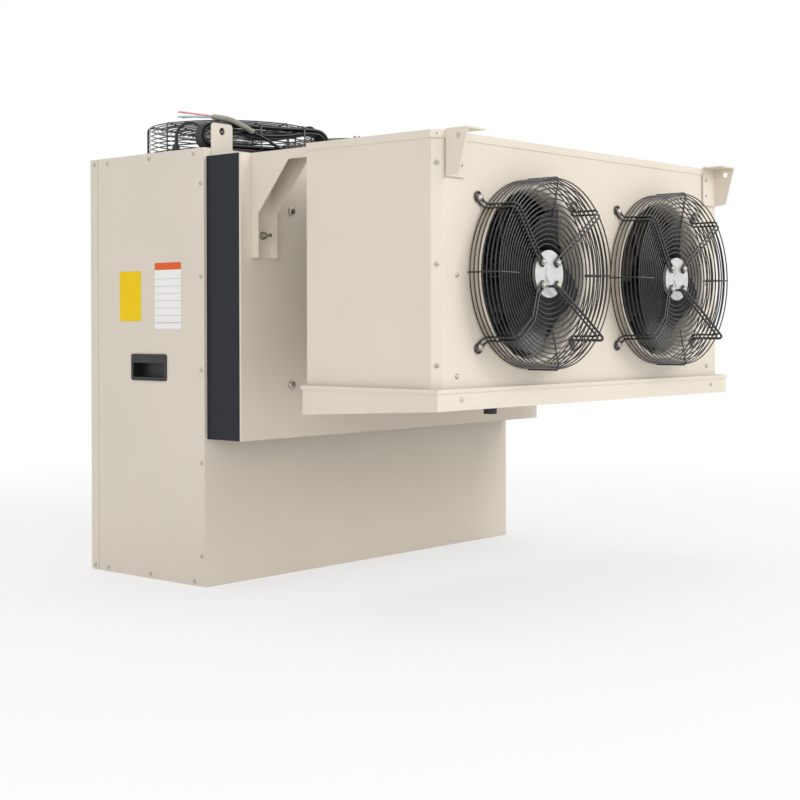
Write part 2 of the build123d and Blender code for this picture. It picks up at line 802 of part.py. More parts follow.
# Expansion valve: body, dome and inlet on the liquid line at the coil's right-hand end
with BuildPart() as valve:
    with BuildSketch(Plane.XY.offset(liquid_height - valve_height / 2)):
        with Locations((pipe_x, valve_y)):
            RegularPolygon(valve_hex, 6, major_radius=False)
    extrude(amount=valve_height)
    with BuildSketch(Plane.XY.offset(liquid_height + valve_height / 2)):
        with Locations((pipe_x, valve_y)):
            Circle(valve_radius)
    extrude(amount=valve_dome)
    with BuildSketch(Plane.XY.offset(liquid_height - valve_height / 2)):
        with Locations((pipe_x, valve_y)):
            Circle(valve_outlet_radius)
    extrude(amount=-valve_outlet)
write(valve.part, "expansion_valve")

# Drip tray: its floor falls towards the rear, where the drain is, and its rim is hemmed
tray_half = evaporator_half + tray_overhang
tray_front_y = evaporator_front_y - tray_overhang
tray_rear_y = evaporator_rear_y + seat_gap + sheet
tray_length = tray_rear_y - tray_front_y
tray_rim = body_bottom + tray_lap
tray_front_bottom = tray_rim - tray_front_height
tray_rear_bottom = tray_rim - tray_rear_height
tray_fall = (tray_front_bottom - tray_rear_bottom) / tray_length
drain_y = evaporator_rear_y - drain_inset
with BuildPart() as tray:
    with BuildSketch(Plane.YZ):
        with BuildLine():
            Polyline(
                (tray_rear_y, tray_rear_bottom), (tray_front_y, tray_front_bottom),
                (tray_front_y, tray_rim), (tray_rear_y, tray_rim), close=True,
            )
        make_face()
    extrude(amount=tray_half, both=True)
    offset(amount=-sheet, openings=tray.faces().sort_by(Axis.Z)[-1])
    with BuildSketch(Plane.XY.offset(tray_rim)):
        with Locations((0, (tray_front_y + tray_rear_y) / 2)):
            Rectangle(2 * tray_half + 2 * tray_hem, tray_length + 2 * tray_hem)
            Rectangle(2 * (tray_half - sheet), tray_length - 2 * sheet, mode=Mode.SUBTRACT)
    extrude(amount=-tray_hem_height)
    with BuildSketch(Plane.XY.offset(tray_rear_bottom)):
        with Locations((0, drain_y)):
            Circle(drain_radius - drain_wall)
    extrude(amount=drain_length, both=True, mode=Mode.SUBTRACT)
write(tray.part, "drip_tray")

# Drain stub with its seating collar under the tray's low end, cut to the slope of the floor
with BuildPart() as drain:
    with BuildSketch(Plane.XY.offset(tray_rear_bottom - drain_length)):
        with Locations((0, drain_y)):
            Circle(drain_radius)
            Circle(drain_radius - drain_wall, mode=Mode.SUBTRACT)
    extrude(amount=2 * drain_length)
    with BuildSketch(Plane.XY.offset(tray_rear_bottom - drain_collar_drop)):
        with Locations((0, drain_y)):
            Circle(drain_radius + drain_collar)
            Circle(drain_radius - drain_wall, mode=Mode.SUBTRACT)
    extrude(amount=drain_length)
    split(
        bisect_by=Plane(
            (0, tray_rear_y, tray_rear_bottom - seat_gap), (1, 0, 0), (0, tray_fall, 1),
        ),
        keep=Keep.BOTTOM,
    )
write(drain.part, "drain_stub")

# Front brackets: folded gussets that hang the evaporator's front corners
bracket_back_y = roof_front_y - seat_gap
bracket_top = roof_top + front_bracket_rise
bracket_bottom = bracket_top - front_bracket_height
bracket_hole = (bracket_back_y - front_bracket_hole_reach, bracket_top - front_bracket_hole_drop)
for side, name in ((-1, "left_front_bracket"), (1, "right_front_bracket")):
    gusset_x = side * (evaporator_half - front_bracket_offset)
    bracket_mid_x = gusset_x - side * front_bracket_width / 2
    with BuildPart() as front_bracket:
        with BuildSketch(Plane.YZ.offset(gusset_x)):
            with BuildLine():
                Polyline(
                    (bracket_back_y, bracket_bottom),
                    (bracket_back_y - front_bracket_foot_reach, bracket_bottom + front_bracket_foot_lift),
                    (bracket_back_y - front_bracket_reach, bracket_top),
                    (bracket_back_y, bracket_top), close=True,
                )
            make_face()
            with Locations(bracket_hole):
                Circle(front_bracket_hole_radius, mode=Mode.SUBTRACT)
        extrude(amount=-side * front_bracket_sheet)
        with BuildSketch(Plane.XZ.offset(-bracket_back_y)):
            with Locations((bracket_mid_x, (bracket_bottom + bracket_top) / 2)):
                Rectangle(front_bracket_width, front_bracket_height)
        extrude(amount=front_bracket_sheet)
        with BuildSketch(Plane.XY.offset(bracket_top)):
            with Locations((bracket_mid_x, bracket_back_y - front_bracket_reach / 2)):
                Rectangle(front_bracket_width, front_bracket_reach)
        extrude(amount=-front_bracket_sheet)
    write(front_bracket.part, name)

# Lifting lugs on the cabinet's front edge, above the plug
for side, name in ((-1, "left_lifting_lug"), (1, "right_lifting_lug")):
    lug_x = side * (half_width - lug_offset)
    with BuildPart() as lug:
        with BuildSketch(Plane.XZ.offset(-front_y + seat_gap)):
            with Locations((lug_x, cabinet_height + (lug_rise - lug_lap) / 2)):
                Rectangle(lug_width, lug_rise + lug_lap)
            with Locations((lug_x, cabinet_height + lug_hole_rise)):
                Circle(lug_hole_radius, mode=Mode.SUBTRACT)
        extrude(amount=lug_sheet)
        fillet(lug.edges().filter_by(Axis.Y).group_by(Axis.Z)[-1], lug_corner)
    write(lug.part, name)

# Fan parts, made once in the fan's own axes: its centre on the panel's face, Z outwards
arm_reach = guard_radius + arm_wire / 2 - weld
arm_foot = seat_gap + arm_wire / 2
arm_seat = plate_front + seat_gap + arm_wire / 2
arm_bend = arm_bolt_radius + arm_lead_in
arm_slope = (arm_front - arm_seat) / (arm_reach - arm_bend)


def ring_top(radius):
    """Height at which a ring of this radius is welded into the arms' undersides."""
    return arm_seat + (radius - arm_bend) * arm_slope - arm_wire / 2 + weld


# Guard: a basket of rings and four bent tie wires, welded under four looped double wires
side_ring_top = ring_top(guard_radius - guard_wire)
side_ring_step = (side_ring_top - guard_wire - seat_gap) / (guard_side_rings - 1)
face_ring_step = (guard_radius - guard_inner_radius) / guard_face_rings
tie_radius = guard_radius - guard_wire - tie_inset
with BuildPart() as guard:
    for index in range(guard_side_rings):
        with BuildSketch(Plane.XY.offset(seat_gap + index * side_ring_step)):
            Circle(guard_radius)
            Circle(guard_radius - guard_wire, mode=Mode.SUBTRACT)
        extrude(amount=guard_wire)
    for index in range(guard_face_rings):
        radius = guard_inner_radius + index * face_ring_step
        with BuildSketch(Plane.XY.offset(ring_top(radius - guard_wire))):
            Circle(radius)
            Circle(radius - guard_wire, mode=Mode.SUBTRACT)
        extrude(amount=-guard_wire)
    with BuildSketch(Plane.XZ):
        with BuildLine():
            Polyline(
                (tie_radius, seat_gap), (tie_radius, ring_top(tie_radius) - guard_wire),
                (tie_reach, ring_top(tie_reach) - guard_wire),
            )
        trace(line_width=tie_wire)
    tie = extrude(amount=guard_wire / 2, both=True)
    with PolarLocations(0, 3, start_angle=90, angular_range=270):
        add(tie)
    for sign_x, sign_y in ((-1, 1), (1, 1), (1, -1), (-1, -1)):
        screw = Vector(sign_x * arm_screw_x, sign_y * arm_screw_z, 0)
        along = screw.normalized()
        shift = Vector(-along.Y, along.X, 0) * (arm_spread / 2)
        profile = (
            (arm_bolt_radius - arm_tip, arm_seat), (arm_bend, arm_seat), (arm_reach, arm_front),
            (arm_reach, arm_foot), (screw.length + arm_loop, arm_foot),
        )
        near = [along * radius + shift + Vector(0, 0, height) for radius, height in profile]
        points = near + [point - 2 * shift for point in reversed(near)]
        with BuildLine() as route:
            Polyline(*points)
        with BuildSketch(Plane(points[0], z_dir=points[1] - points[0])):
            Rectangle(arm_wire, arm_wire)
        sweep(path=route.line, transition=Transition.RIGHT)

# Motor: cast plate with a raised boss, and the stator with its bearing bore
stator_end = rotor_rear + stator_gap
with BuildPart() as motor:
    with BuildSketch(Plane.XY.offset(plate_rear)):
        Circle(plate_radius)
    extrude(amount=plate_front - plate_rear)
    with BuildSketch(Plane.XY.offset(plate_front)):
        Ellipse(boss_width, boss_height)
    extrude(amount=boss_rise)
    with BuildSketch(Plane.XY.offset(stator_end)):
        Circle(stator_radius)
        Circle(shaft_radius + shaft_clearance, mode=Mode.SUBTRACT)
    extrude(amount=plate_rear - stator_end - shaft_end / 3)
    with BuildSketch(Plane.XY.offset(plate_rear - shaft_end / 3)):
        Circle(stator_radius)
    extrude(amount=shaft_end / 3)

# Blade: rectangles turned and swept back towards the tip, trimmed to the fan's circle
with BuildPart() as blade:
    for index in range(blade_sections):
        share = index / (blade_sections - 1)
        radius = blade_root_radius + share * (blade_tip_radius - blade_tip_trim - blade_root_radius)
        chord = blade_root_chord + share * (blade_tip_chord - blade_root_chord)
        pitch = radians(blade_root_pitch + share * (blade_tip_pitch - blade_root_pitch))
        turn = radians(-blade_sweep * share ** 1.4)
        radial = (cos(turn), sin(turn), 0)
        tangent = Vector(-sin(turn), cos(turn), 0) * cos(pitch) + Vector(0, 0, sin(pitch))
        with BuildSketch(Plane((radius * cos(turn), radius * sin(turn), blade_mid), tangent, radial)):
            Rectangle(chord, blade_thickness)
    loft()
    with BuildSketch(Plane.XY.offset(blade_mid)):
        Circle(blade_tip_radius)
    extrude(amount=blade_swing, both=True, mode=Mode.INTERSECT)

# Rotor: outer can with its shaft and the swept blades
rotor_height = rotor_front - rotor_rear
with BuildPart() as rotor:
    with BuildSketch(Plane.XY.offset(rotor_rear)):
        Circle(rotor_radius)
    extrude(amount=rotor_height)
    with PolarLocations(0, blade_count):
        add(blade.part)
    with BuildSketch(Plane.XY.offset(rotor_rear + rotor_wall)):
        Circle(rotor_radius - rotor_wall)
    extrude(amount=rotor_height, mode=Mode.SUBTRACT)
    with BuildSketch(Plane.XY.offset(rotor_rear)):
        Circle(shaft_radius)
    extrude(amount=plate_rear - shaft_end - rotor_rear)

fan_forms = {"guard": guard, "motor": motor, "rotor": rotor}
fans = {"evaporator": evaporator_fans, "condenser": condenser_fans}
for group, seats in fans.items():
    for side, seat in seats.items():
        for name, form in fan_forms.items():
            with BuildPart(seat) as placed:
                with Locations((0, 0, 0)):
                    add(form.part)
            write(placed.part, f"{group}_{side}_{name}")

# Motor leads: along the lower right-hand arm of each guard, down into the panel
lead_radius = 2.8
lead_turn = 12.0
lead_exit = 26.0
lead_rise = 12.0
lead_landing = 50.0
lead_lift = 1.0
over = arm_wire / 2 + lead_radius + seat_gap + lead_lift
with BuildPart() as motor_leads:
    for seats in fans.values():
        for seat in seats.values():
            along = Vector(arm_screw_x, -arm_screw_z, 0).normalized()
            beside = along * (arm_reach + lead_radius + arm_wire)
            lead = (
                Vector(0, -lead_exit, plate_front + seat_gap),
                Vector(0, -lead_exit, arm_seat + over + lead_rise),
                along * (arm_bend + lead_landing) + Vector(0, 0, arm_seat + lead_landing * arm_slope + over),
                beside + Vector(0, 0, arm_front + over),
                beside + Vector(0, 0, seat_gap),
            )
            points = [(seat.location * Location(point)).position for point in lead]
            with BuildLine() as route:
                FilletPolyline(*points, radius=lead_turn)
            with BuildSketch(Plane(points[0], z_dir=points[1] - points[0])):
                Circle(lead_radius)
            sweep(path=route.line)
write(motor_leads.part, "motor_leads")

# Screws that hold the panels, the tray, the guards and the motors
screw_radius = 5.0
strip_screw_radius = 4.5
strip_rise, strip_fall = 62.0, 65.0
rear_rise, rear_fall = 59.5, 68.6
screw_head = 3.0
edge_row = 10.8
foot_row = base_flange / 2 - 3.5
lid_row = cabinet_height - 12.0
side_first = 71.0
side_last = cabinet_height - 80.5
side_count = 5
front_row = 36.0
rear_row = cabinet_depth - corner_wrap - 37.0
side_rows = (front_row, (front_row + rear_row) / 2, rear_row, cabinet_depth - corner_wrap / 2 - 0.5)
strip_first, strip_last = body_bottom + strip_rise, roof_top - strip_fall
strip_heights = (strip_first, (strip_first + strip_last) / 2, strip_last)
face_heights = (body_bottom + 39.5, body_bottom + 243.0)
rear_first, rear_last = body_bottom + rear_rise, roof_top - rear_fall
rear_heights = (rear_first, (rear_first + rear_last) / 2, rear_last)
face_screw_x = evaporator_half - 62.5
rear_screw_x = evaporator_half - 9.0
hub_bolt_radius = (arm_spread - arm_wire) / 2 - seat_gap
hub_bolt_seat = arm_seat + arm_wire / 2 + seat_gap
bolt_circle = Vector(arm_screw_x, arm_screw_z).normalized() * (2 * arm_bolt_radius)
with BuildPart() as hub_bolt:
    with BuildSketch(Plane.XY.offset(plate_front + seat_gap)):
        Circle(hub_bolt_radius)
    extrude(amount=hub_bolt_seat - plate_front - seat_gap)
    with BuildSketch(Plane.XY.offset(hub_bolt_seat)):
        Circle(hub_bolt_head)
    extrude(amount=hub_bolt_height)
    fillet(hub_bolt.edges().group_by(Axis.Z)[-1], hub_bolt_dome)

with BuildPart() as screws:
    for seats in fans.values():
        for seat in seats.values():
            with Locations(seat):
                with GridLocations(bolt_circle.X, bolt_circle.Y, 2, 2):
                    add(hub_bolt.part)
            with BuildSketch(seat.offset(seat_gap)):
                with GridLocations(2 * arm_screw_x, 2 * arm_screw_z, 2, 2):
                    Circle(arm_screw_radius)
            extrude(amount=arm_wire + screw_head)
    for side in (-1, 1):
        with BuildSketch(Plane.YZ.offset(side * (half_width + seat_gap))):
            for along in side_rows:
                with Locations((front_y + along, foot_row), (front_y + along, lid_row)):
                    Circle(screw_radius)
            for index in range(side_count):
                height = side_first + index * (side_last - side_first) / (side_count - 1)
                with Locations((front_y + edge_row, height)):
                    Circle(screw_radius)
        extrude(amount=side * screw_head)
        mid = Vector(side * (wrap_half - corner_chamfer / 2), (strip_y + front_face_y) / 2, 0)
        normal = Vector(side, -1, 0).normalized()
        strip_face = mid + normal * (sheet / 2 + seat_gap)
        lip = Vector(side * (roof_half - corner_chamfer / 2), roof_front_y + corner_chamfer / 2, 0)
        places = [strip_face + Vector(0, 0, height) for height in strip_heights]
        places.append(lip + normal * seat_gap + Vector(0, 0, roof_top - roof_lip / 2))
        for place in places:
            with BuildSketch(Plane(place, x_dir=(0, 0, 1), z_dir=normal)):
                Circle(strip_screw_radius)
            extrude(amount=screw_head)
        with BuildSketch(Plane.XZ.offset(-evaporator_front_y + seat_gap)):
            for height in face_heights:
                with Locations((side * face_screw_x, height)):
                    Circle(screw_radius)
        extrude(amount=screw_head)
        with BuildSketch(Plane.XZ.offset(-tray_front_y + seat_gap)):
            with Locations((side * face_screw_x, (tray_rim + tray_front_bottom) / 2)):
                Circle(screw_radius)
        extrude(amount=screw_head)
        with BuildSketch(Plane.XZ.offset(-evaporator_rear_y - seat_gap)):
            for height in rear_heights:
                with Locations((side * rear_screw_x, height)):
                    Circle(strip_screw_radius)
        extrude(amount=-screw_head)
write(screws.part, "screws")

# Supply cable: gland, lead, a hank standing on the cabinet's front edge, and its sleeved end
cable_radius = 3.5
sleeve_radius = 7.0
gland_height = 22.0
gland_hex_height = 8.8
gland_nut = 12.0
gland_cap = 10.0
gland_taper = 12.0
gland_stem = 12.0
gland_seat = cabinet_height + seat_gap
with BuildPart() as gland:
    with BuildSketch(Plane.XY.offset(gland_seat)):
        with Locations((gland_x, gland_y)):
            RegularPolygon(gland_nut, 6)
    extrude(amount=gland_hex_height)
    with BuildSketch(Plane.XY.offset(gland_seat + gland_hex_height)):
        with Locations((gland_x, gland_y)):
            Circle(gland_cap)
    extrude(amount=gland_height - gland_hex_height, taper=gland_taper)
    with BuildSketch(Plane.XY.offset(gland_seat)):
        with Locations((gland_x, gland_y)):
            Circle(gland_radius)
    extrude(amount=-gland_stem)
write(gland.part, "cable_gland")

hank_length = 340.0
hank_height = 66.0
hank_thickness = 40.0
hank_turn = radians(15.8)
hank_centre = Vector(gland_x + 135.0, gland_y - 152.5, gland_seat + hank_height / 2)
hank_along = Vector(cos(hank_turn), -sin(hank_turn), 0)
hank_across = Vector(sin(hank_turn), cos(hank_turn), 0)
hank_plane = Plane(
    hank_centre + hank_across * (hank_thickness / 2), x_dir=hank_along, z_dir=hank_across,
)
with BuildPart() as hank:
    with BuildSketch(hank_plane):
        SlotOverall(hank_length, hank_height)
    extrude(amount=-hank_thickness)
write(hank.part, "cable_hank")


def cable(name, start, steps, radius):
    """A cable through hand-chosen places near its start, each bend as large as its two runs allow."""
    places = [start + Vector(*step) for step in steps]
    radii = []
    for before, here, after in zip(places, places[1:], places[2:]):
        turn = radians((here - before).get_angle(after - here))
        run = min((here - before).length, (after - here).length)
        radii.append(0.45 * run / tan(turn / 2))
    print(name, "bends", [round(value) for value in radii])
    with BuildPart() as tube:
        with BuildLine() as route:
            FilletPolyline(*places, radius=radii)
        with BuildSketch(Plane(places[0], z_dir=places[1] - places[0])):
            Circle(radius)
        sweep(path=route.line)
    length = sum(edge.length for edge in route.edges())
    print(name, "length", round(length), "volume share", tube.part.volume / (pi * radius**2 * length))
    write(tube.part, name)


lead_steps = (
    (0, 0, 0),
    (0, 0, 25.4),
    (4, -15.5, 45.4),
    (14, -39.5, 50.4),
    (25, -62.5, 39.4),
    (30, -83.5, 23.4),
    (25.3, -100.2, 13.4),
)
tail_steps = (
    (-17, -24, -0.3),
    (-46, -17, 11.7),
    (-80, -7, 28.7),
    (-106, 9, 40.7),
    (-132, 28, 42.7),
    (-154, 48, 44.7),
    (-167, 71, 47.7),
    (-170, 95, 49.7),
)
cable("cable_lead", Vector(gland_x, gland_y, gland_seat + gland_height + seat_gap), lead_steps, cable_radius)
cable("cable_tail", hank_centre, tail_steps, sleeve_radius)
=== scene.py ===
import json
import math
import random

import bmesh
import bpy
from mathutils import Matrix, Vector


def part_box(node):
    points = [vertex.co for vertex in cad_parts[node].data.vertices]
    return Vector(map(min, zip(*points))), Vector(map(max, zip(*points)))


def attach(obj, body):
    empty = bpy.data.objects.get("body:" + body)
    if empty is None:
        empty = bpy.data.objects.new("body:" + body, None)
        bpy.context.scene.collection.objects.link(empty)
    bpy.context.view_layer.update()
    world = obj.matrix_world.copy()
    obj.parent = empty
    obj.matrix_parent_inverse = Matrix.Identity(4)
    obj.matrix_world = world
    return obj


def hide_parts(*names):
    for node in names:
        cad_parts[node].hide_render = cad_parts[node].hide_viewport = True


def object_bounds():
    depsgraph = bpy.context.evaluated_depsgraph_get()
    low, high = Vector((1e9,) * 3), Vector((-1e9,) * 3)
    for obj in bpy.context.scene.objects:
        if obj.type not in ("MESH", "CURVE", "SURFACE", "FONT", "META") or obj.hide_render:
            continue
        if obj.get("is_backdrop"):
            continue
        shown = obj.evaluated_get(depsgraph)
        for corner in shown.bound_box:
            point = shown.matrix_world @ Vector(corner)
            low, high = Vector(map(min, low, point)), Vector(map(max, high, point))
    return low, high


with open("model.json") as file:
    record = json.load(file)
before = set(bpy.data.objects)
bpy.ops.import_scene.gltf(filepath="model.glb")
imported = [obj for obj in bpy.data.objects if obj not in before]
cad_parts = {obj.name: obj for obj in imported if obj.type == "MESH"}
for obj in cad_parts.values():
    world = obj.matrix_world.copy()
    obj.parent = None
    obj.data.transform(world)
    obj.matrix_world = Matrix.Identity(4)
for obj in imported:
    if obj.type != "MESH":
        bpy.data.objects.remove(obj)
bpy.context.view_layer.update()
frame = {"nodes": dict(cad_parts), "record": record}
nodes = frame["nodes"]
print("frame loaded:", len(nodes), "nodes")

# colours and shader helpers


def paintColour(red, green, blue):
    channels = [value / 255 for value in (red, green, blue)]
    return tuple(c / 12.92 if c <= 0.04045 else ((c + 0.055) / 1.055) ** 2.4 for c in channels) + (1.0,)


def startFinish(name, colour, roughness, metallic=0.0, coat=0.0, specular=0.5):
    material = bpy.data.materials.new(name)
    material.use_nodes = True
    tree = material.node_tree
    shader = tree.nodes["Principled BSDF"]
    shader.inputs["Base Color"].default_value = colour
    shader.inputs["Roughness"].default_value = roughness
    shader.inputs["Metallic"].default_value = metallic
    shader.inputs["Coat Weight"].default_value = coat
    shader.inputs["Coat Roughness"].default_value = 0.12
    shader.inputs["Specular IOR Level"].default_value = specular
    coords = tree.nodes.new("ShaderNodeTexCoord").outputs["Object"]
    return material, tree, shader, coords


def addNoise(tree, coords, scale, detail=3.0, roughness=0.55, stretch=(1, 1, 1)):
    mapping = tree.nodes.new("ShaderNodeMapping")
    mapping.inputs["Scale"].default_value = stretch
    noise = tree.nodes.new("ShaderNodeTexNoise")
    noise.inputs["Scale"].default_value = scale
    noise.inputs["Detail"].default_value = detail
    noise.inputs["Roughness"].default_value = roughness
    tree.links.new(coords, mapping.inputs["Vector"])
    tree.links.new(mapping.outputs["Vector"], noise.inputs["Vector"])
    return noise.outputs["Fac"]


def addRamp(tree, factor, stops):
    ramp = tree.nodes.new("ShaderNodeValToRGB")
    while len(ramp.color_ramp.elements) < len(stops):
        ramp.color_ramp.elements.new(0.5)
    for element, (place, colour) in zip(ramp.color_ramp.elements, stops):
        element.position = place
        element.color = colour
    tree.links.new(factor, ramp.inputs["Fac"])
    return ramp.outputs["Color"]


def addRange(tree, factor, low, high, fromLow=0.3, fromHigh=0.7):
    ranged = tree.nodes.new("ShaderNodeMapRange")
    ranged.inputs["From Min"].default_value = fromLow
    ranged.inputs["From Max"].default_value = fromHigh
    ranged.inputs["To Min"].default_value = low
    ranged.inputs["To Max"].default_value = high
    tree.links.new(factor, ranged.inputs["Value"])
    return ranged.outputs["Result"]


def addBump(tree, shader, height, strength, distance):
    bump = tree.nodes.new("ShaderNodeBump")
    bump.inputs["Strength"].default_value = strength
    bump.inputs["Distance"].default_value = distance
    tree.links.new(height, bump.inputs["Height"])
    for link in list(shader.inputs["Normal"].links):
        tree.links.new(link.from_socket, bump.inputs["Normal"])
    tree.links.new(bump.outputs["Normal"], shader.inputs["Normal"])


def mottle(tree, shader, coords, colour, scale, amount):
    # a colour that drifts a little lighter and darker over the surface
    dark = tuple(c * (1 - amount) for c in colour[:3]) + (1.0,)
    light = tuple(min(1.0, c * (1 + amount)) for c in colour[:3]) + (1.0,)
    tint = addRamp(tree, addNoise(tree, coords, scale, 4), [(0.3, dark), (0.7, light)])
    tree.links.new(tint, shader.inputs["Base Color"])


# finishes, one function for each kind of surface


def powderCoat(name, colour):
    look = {"drift": 0.035, "driftScale": 2.6, "peel": 0.10, "peelScale": 420.0, "roughness": (0.36, 0.50)}
    material, tree, shader, coords = startFinish(name, colour, 0.42, specular=0.45)
    mottle(tree, shader, coords, colour, look["driftScale"], look["drift"])
    smudge = addNoise(tree, coords, 9.0, 5)
    tree.links.new(addRange(tree, smudge, *look["roughness"]), shader.inputs["Roughness"])
    addBump(tree, shader, addNoise(tree, coords, look["peelScale"], 1), look["peel"], 0.0006)
    addBump(tree, shader, addNoise(tree, coords, 5.0, 1), 0.06, 0.004)
    return material


def zincPlate(name, colour, roughness=0.38):
    material, tree, shader, coords = startFinish(name, colour, roughness, metallic=0.9)
    mottle(tree, shader, coords, colour, 60.0, 0.18)
    grain = addNoise(tree, coords, 240.0, 3)
    tree.links.new(addRange(tree, grain, roughness - 0.08, roughness + 0.14), shader.inputs["Roughness"])
    addBump(tree, shader, grain, 0.12, 0.0004)
    return material


def spangledZinc(name, colour):
    material, tree, shader, coords = startFinish(name, colour, 0.36, metallic=0.85)
    cells = tree.nodes.new("ShaderNodeTexVoronoi")
    cells.inputs["Scale"].default_value = 75.0
    tree.links.new(coords, cells.inputs["Vector"])
    grey = tree.nodes.new("ShaderNodeSeparateColor")
    tree.links.new(cells.outputs["Color"], grey.inputs["Color"])
    dark = tuple(c * 0.72 for c in colour[:3]) + (1.0,)
    light = tuple(min(1.0, c * 1.18) for c in colour[:3]) + (1.0,)
    tint = addRamp(tree, grey.outputs["Red"], [(0.1, dark), (0.9, light)])
    tree.links.new(tint, shader.inputs["Base Color"])
    tree.links.new(addRange(tree, grey.outputs["Green"], 0.28, 0.5, 0, 1), shader.inputs["Roughness"])
    addBump(tree, shader, addNoise(tree, coords, 120.0, 2), 0.08, 0.0004)
    return material


def castMetal(name, colour):
    material, tree, shader, coords = startFinish(name, colour, 0.34, metallic=0.85)
    mottle(tree, shader, coords, colour, 90.0, 0.10)
    addBump(tree, shader, addNoise(tree, coords, 700.0, 3), 0.35, 0.0008)
    return material


def glossBlack(name, colour, roughness, coat, dustShare):
    material, tree, shader, coords = startFinish(name, colour, roughness, coat=coat, specular=0.38)
    dusty = tuple(c + dustShare * 0.12 for c in colour[:3]) + (1.0,)
    dust = addNoise(tree, coords, 22.0, 6, 0.65)
    tree.links.new(addRamp(tree, dust, [(0.42, colour), (0.72, dusty)]), shader.inputs["Base Color"])
    tree.links.new(addRange(tree, dust, roughness, min(1.0, roughness + 0.22)), shader.inputs["Roughness"])
    addBump(tree, shader, addNoise(tree, coords, 300.0, 2), 0.06, 0.0004)
    return material


def mouldedPlastic(name, colour, roughness=0.5):
    material, tree, shader, coords = startFinish(name, colour, roughness)
    mottle(tree, shader, coords, colour, 30.0, 0.12)
    addBump(tree, shader, addNoise(tree, coords, 900.0, 2), 0.25, 0.0005)
    return material


def bandSheet(name, colour):
    # smooth dark sheet with hand marks, wiped streaks and slight waves
    material, tree, shader, coords = startFinish(name, colour, 0.46, specular=0.26)
    lighter = tuple(c * 1.7 for c in colour[:3]) + (1.0,)
    streaks = addNoise(tree, coords, 7.0, 7, 0.7, (1, 1, 0.35))
    tree.links.new(addRamp(tree, streaks, [(0.4, colour), (0.75, lighter)]), shader.inputs["Base Color"])
    tree.links.new(addRange(tree, streaks, 0.34, 0.62), shader.inputs["Roughness"])
    addBump(tree, shader, addNoise(tree, coords, 14.0, 2), 0.25, 0.003)
    addBump(tree, shader, addNoise(tree, coords, 500.0, 2), 0.1, 0.0004)
    return material


def rigidFoam(name, colour):
    material, tree, shader, coords = startFinish(name, colour, 0.85)
    mottle(tree, shader, coords, colour, 45.0, 0.14)
    addBump(tree, shader, addNoise(tree, coords, 260.0, 4), 0.5, 0.0015)
    return material


def copperTube(name, colour):
    material, tree, shader, coords = startFinish(name, colour, 0.3, metallic=1.0)
    dull = tuple(c * 0.62 for c in colour[:3]) + (1.0,)
    stain = addNoise(tree, coords, 26.0, 6, 0.7)
    tree.links.new(addRamp(tree, stain, [(0.35, dull), (0.65, colour)]), shader.inputs["Base Color"])
    tree.links.new(addRange(tree, stain, 0.5, 0.25), shader.inputs["Roughness"])
    return material


def cableJacket(name, colour, roughness=0.5):
    material, tree, shader, coords = startFinish(name, colour, roughness)
    mottle(tree, shader, coords, colour, 60.0, 0.2)
    addBump(tree, shader, addNoise(tree, coords, 420.0, 3), 0.15, 0.0004)
    return material


creamColour = paintColour(231, 223, 210)
finishes = {
    "cream_paint": powderCoat("creamPowderCoat", creamColour),
    "galvanised": spangledZinc("galvanisedSheet", paintColour(176, 179, 181)),
    "fin_aluminium": zincPlate("finAluminium", paintColour(205, 207, 209), 0.3),
    "zinc_steel": zincPlate("zincPlate", paintColour(186, 182, 174), 0.27),
    "black_wire": glossBlack("blackWire", paintColour(17, 16, 17), 0.2, 0.7, 0.08),
    "cast_aluminium": castMetal("castAluminium", paintColour(214, 215, 215)),
    "blade_black": glossBlack("bladePaint", paintColour(17, 21, 29), 0.22, 0.25, 0.12),
    "black_plastic": mouldedPlastic("blackPlastic", paintColour(33, 33, 35), 0.42),
    "band_rubber": bandSheet("bandSheet", paintColour(26, 31, 39)),
    "mount_rubber": mouldedPlastic("mountRubber", paintColour(30, 30, 31), 0.7),
    "foam": rigidFoam("rigidFoam", paintColour(226, 214, 168)),
    "compressor_black": glossBlack("compressorPaint", paintColour(22, 22, 24), 0.3, 0.4, 0.3),
    "copper": copperTube("copperTube", paintColour(214, 138, 98)),
    "heater_steel": zincPlate("heaterSheath", paintColour(150, 147, 142), 0.32),
    "cable_black": cableJacket("cableJacket", paintColour(40, 41, 46), 0.33),
    "sleeve_grey": cableJacket("greySleeve", paintColour(150, 148, 138), 0.5),
}
for entry in frame["record"]["subparts"]:
    node = nodes[entry["node"]]
    finish = finishes[entry["material_slot"]]
    for materialSlot in node.material_slots:
        materialSlot.material = finish
print("finishes assigned:", len(finishes))

# mesh helpers


def addObject(name, data):
    added = bpy.data.objects.new(name, data)
    bpy.context.scene.collection.objects.link(added)
    return added


def meshOf(name, shaped):
    mesh = bpy.data.meshes.new(name)
    shaped.to_mesh(mesh)
    shaped.free()
    return mesh


def stitchLoops(shaped, loops):
    # quads between neighbouring loops, the last one joined to the first
    sides = len(loops[0])
    for near, far in zip(loops, loops[1:] + loops[:1]):
        for index in range(sides):
            following = (index + 1) % sides
            shaped.faces.new((near[index], near[following], far[following], far[index]))
    bmesh.ops.recalc_face_normals(shaped, faces=shaped.faces)


def newPiece(name, mesh, slotName, body="unit"):
    piece = addObject(name, mesh)
    if slotName:
        mesh.materials.clear()
        mesh.materials.append(finishes[slotName])
    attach(piece, body)
    return piece


def smooth(mesh, angle=35.0):
    # rounded faces shade smoothly, corners sharper than the angle stay crisp
    shaped = bmesh.new()
    shaped.from_mesh(mesh)
    for face in shaped.faces:
        face.smooth = True
    for edge in shaped.edges:
        edge.smooth = len(edge.link_faces) == 2 and edge.calc_face_angle(0.0) < math.radians(angle)
    shaped.to_mesh(mesh)
    shaped.free()


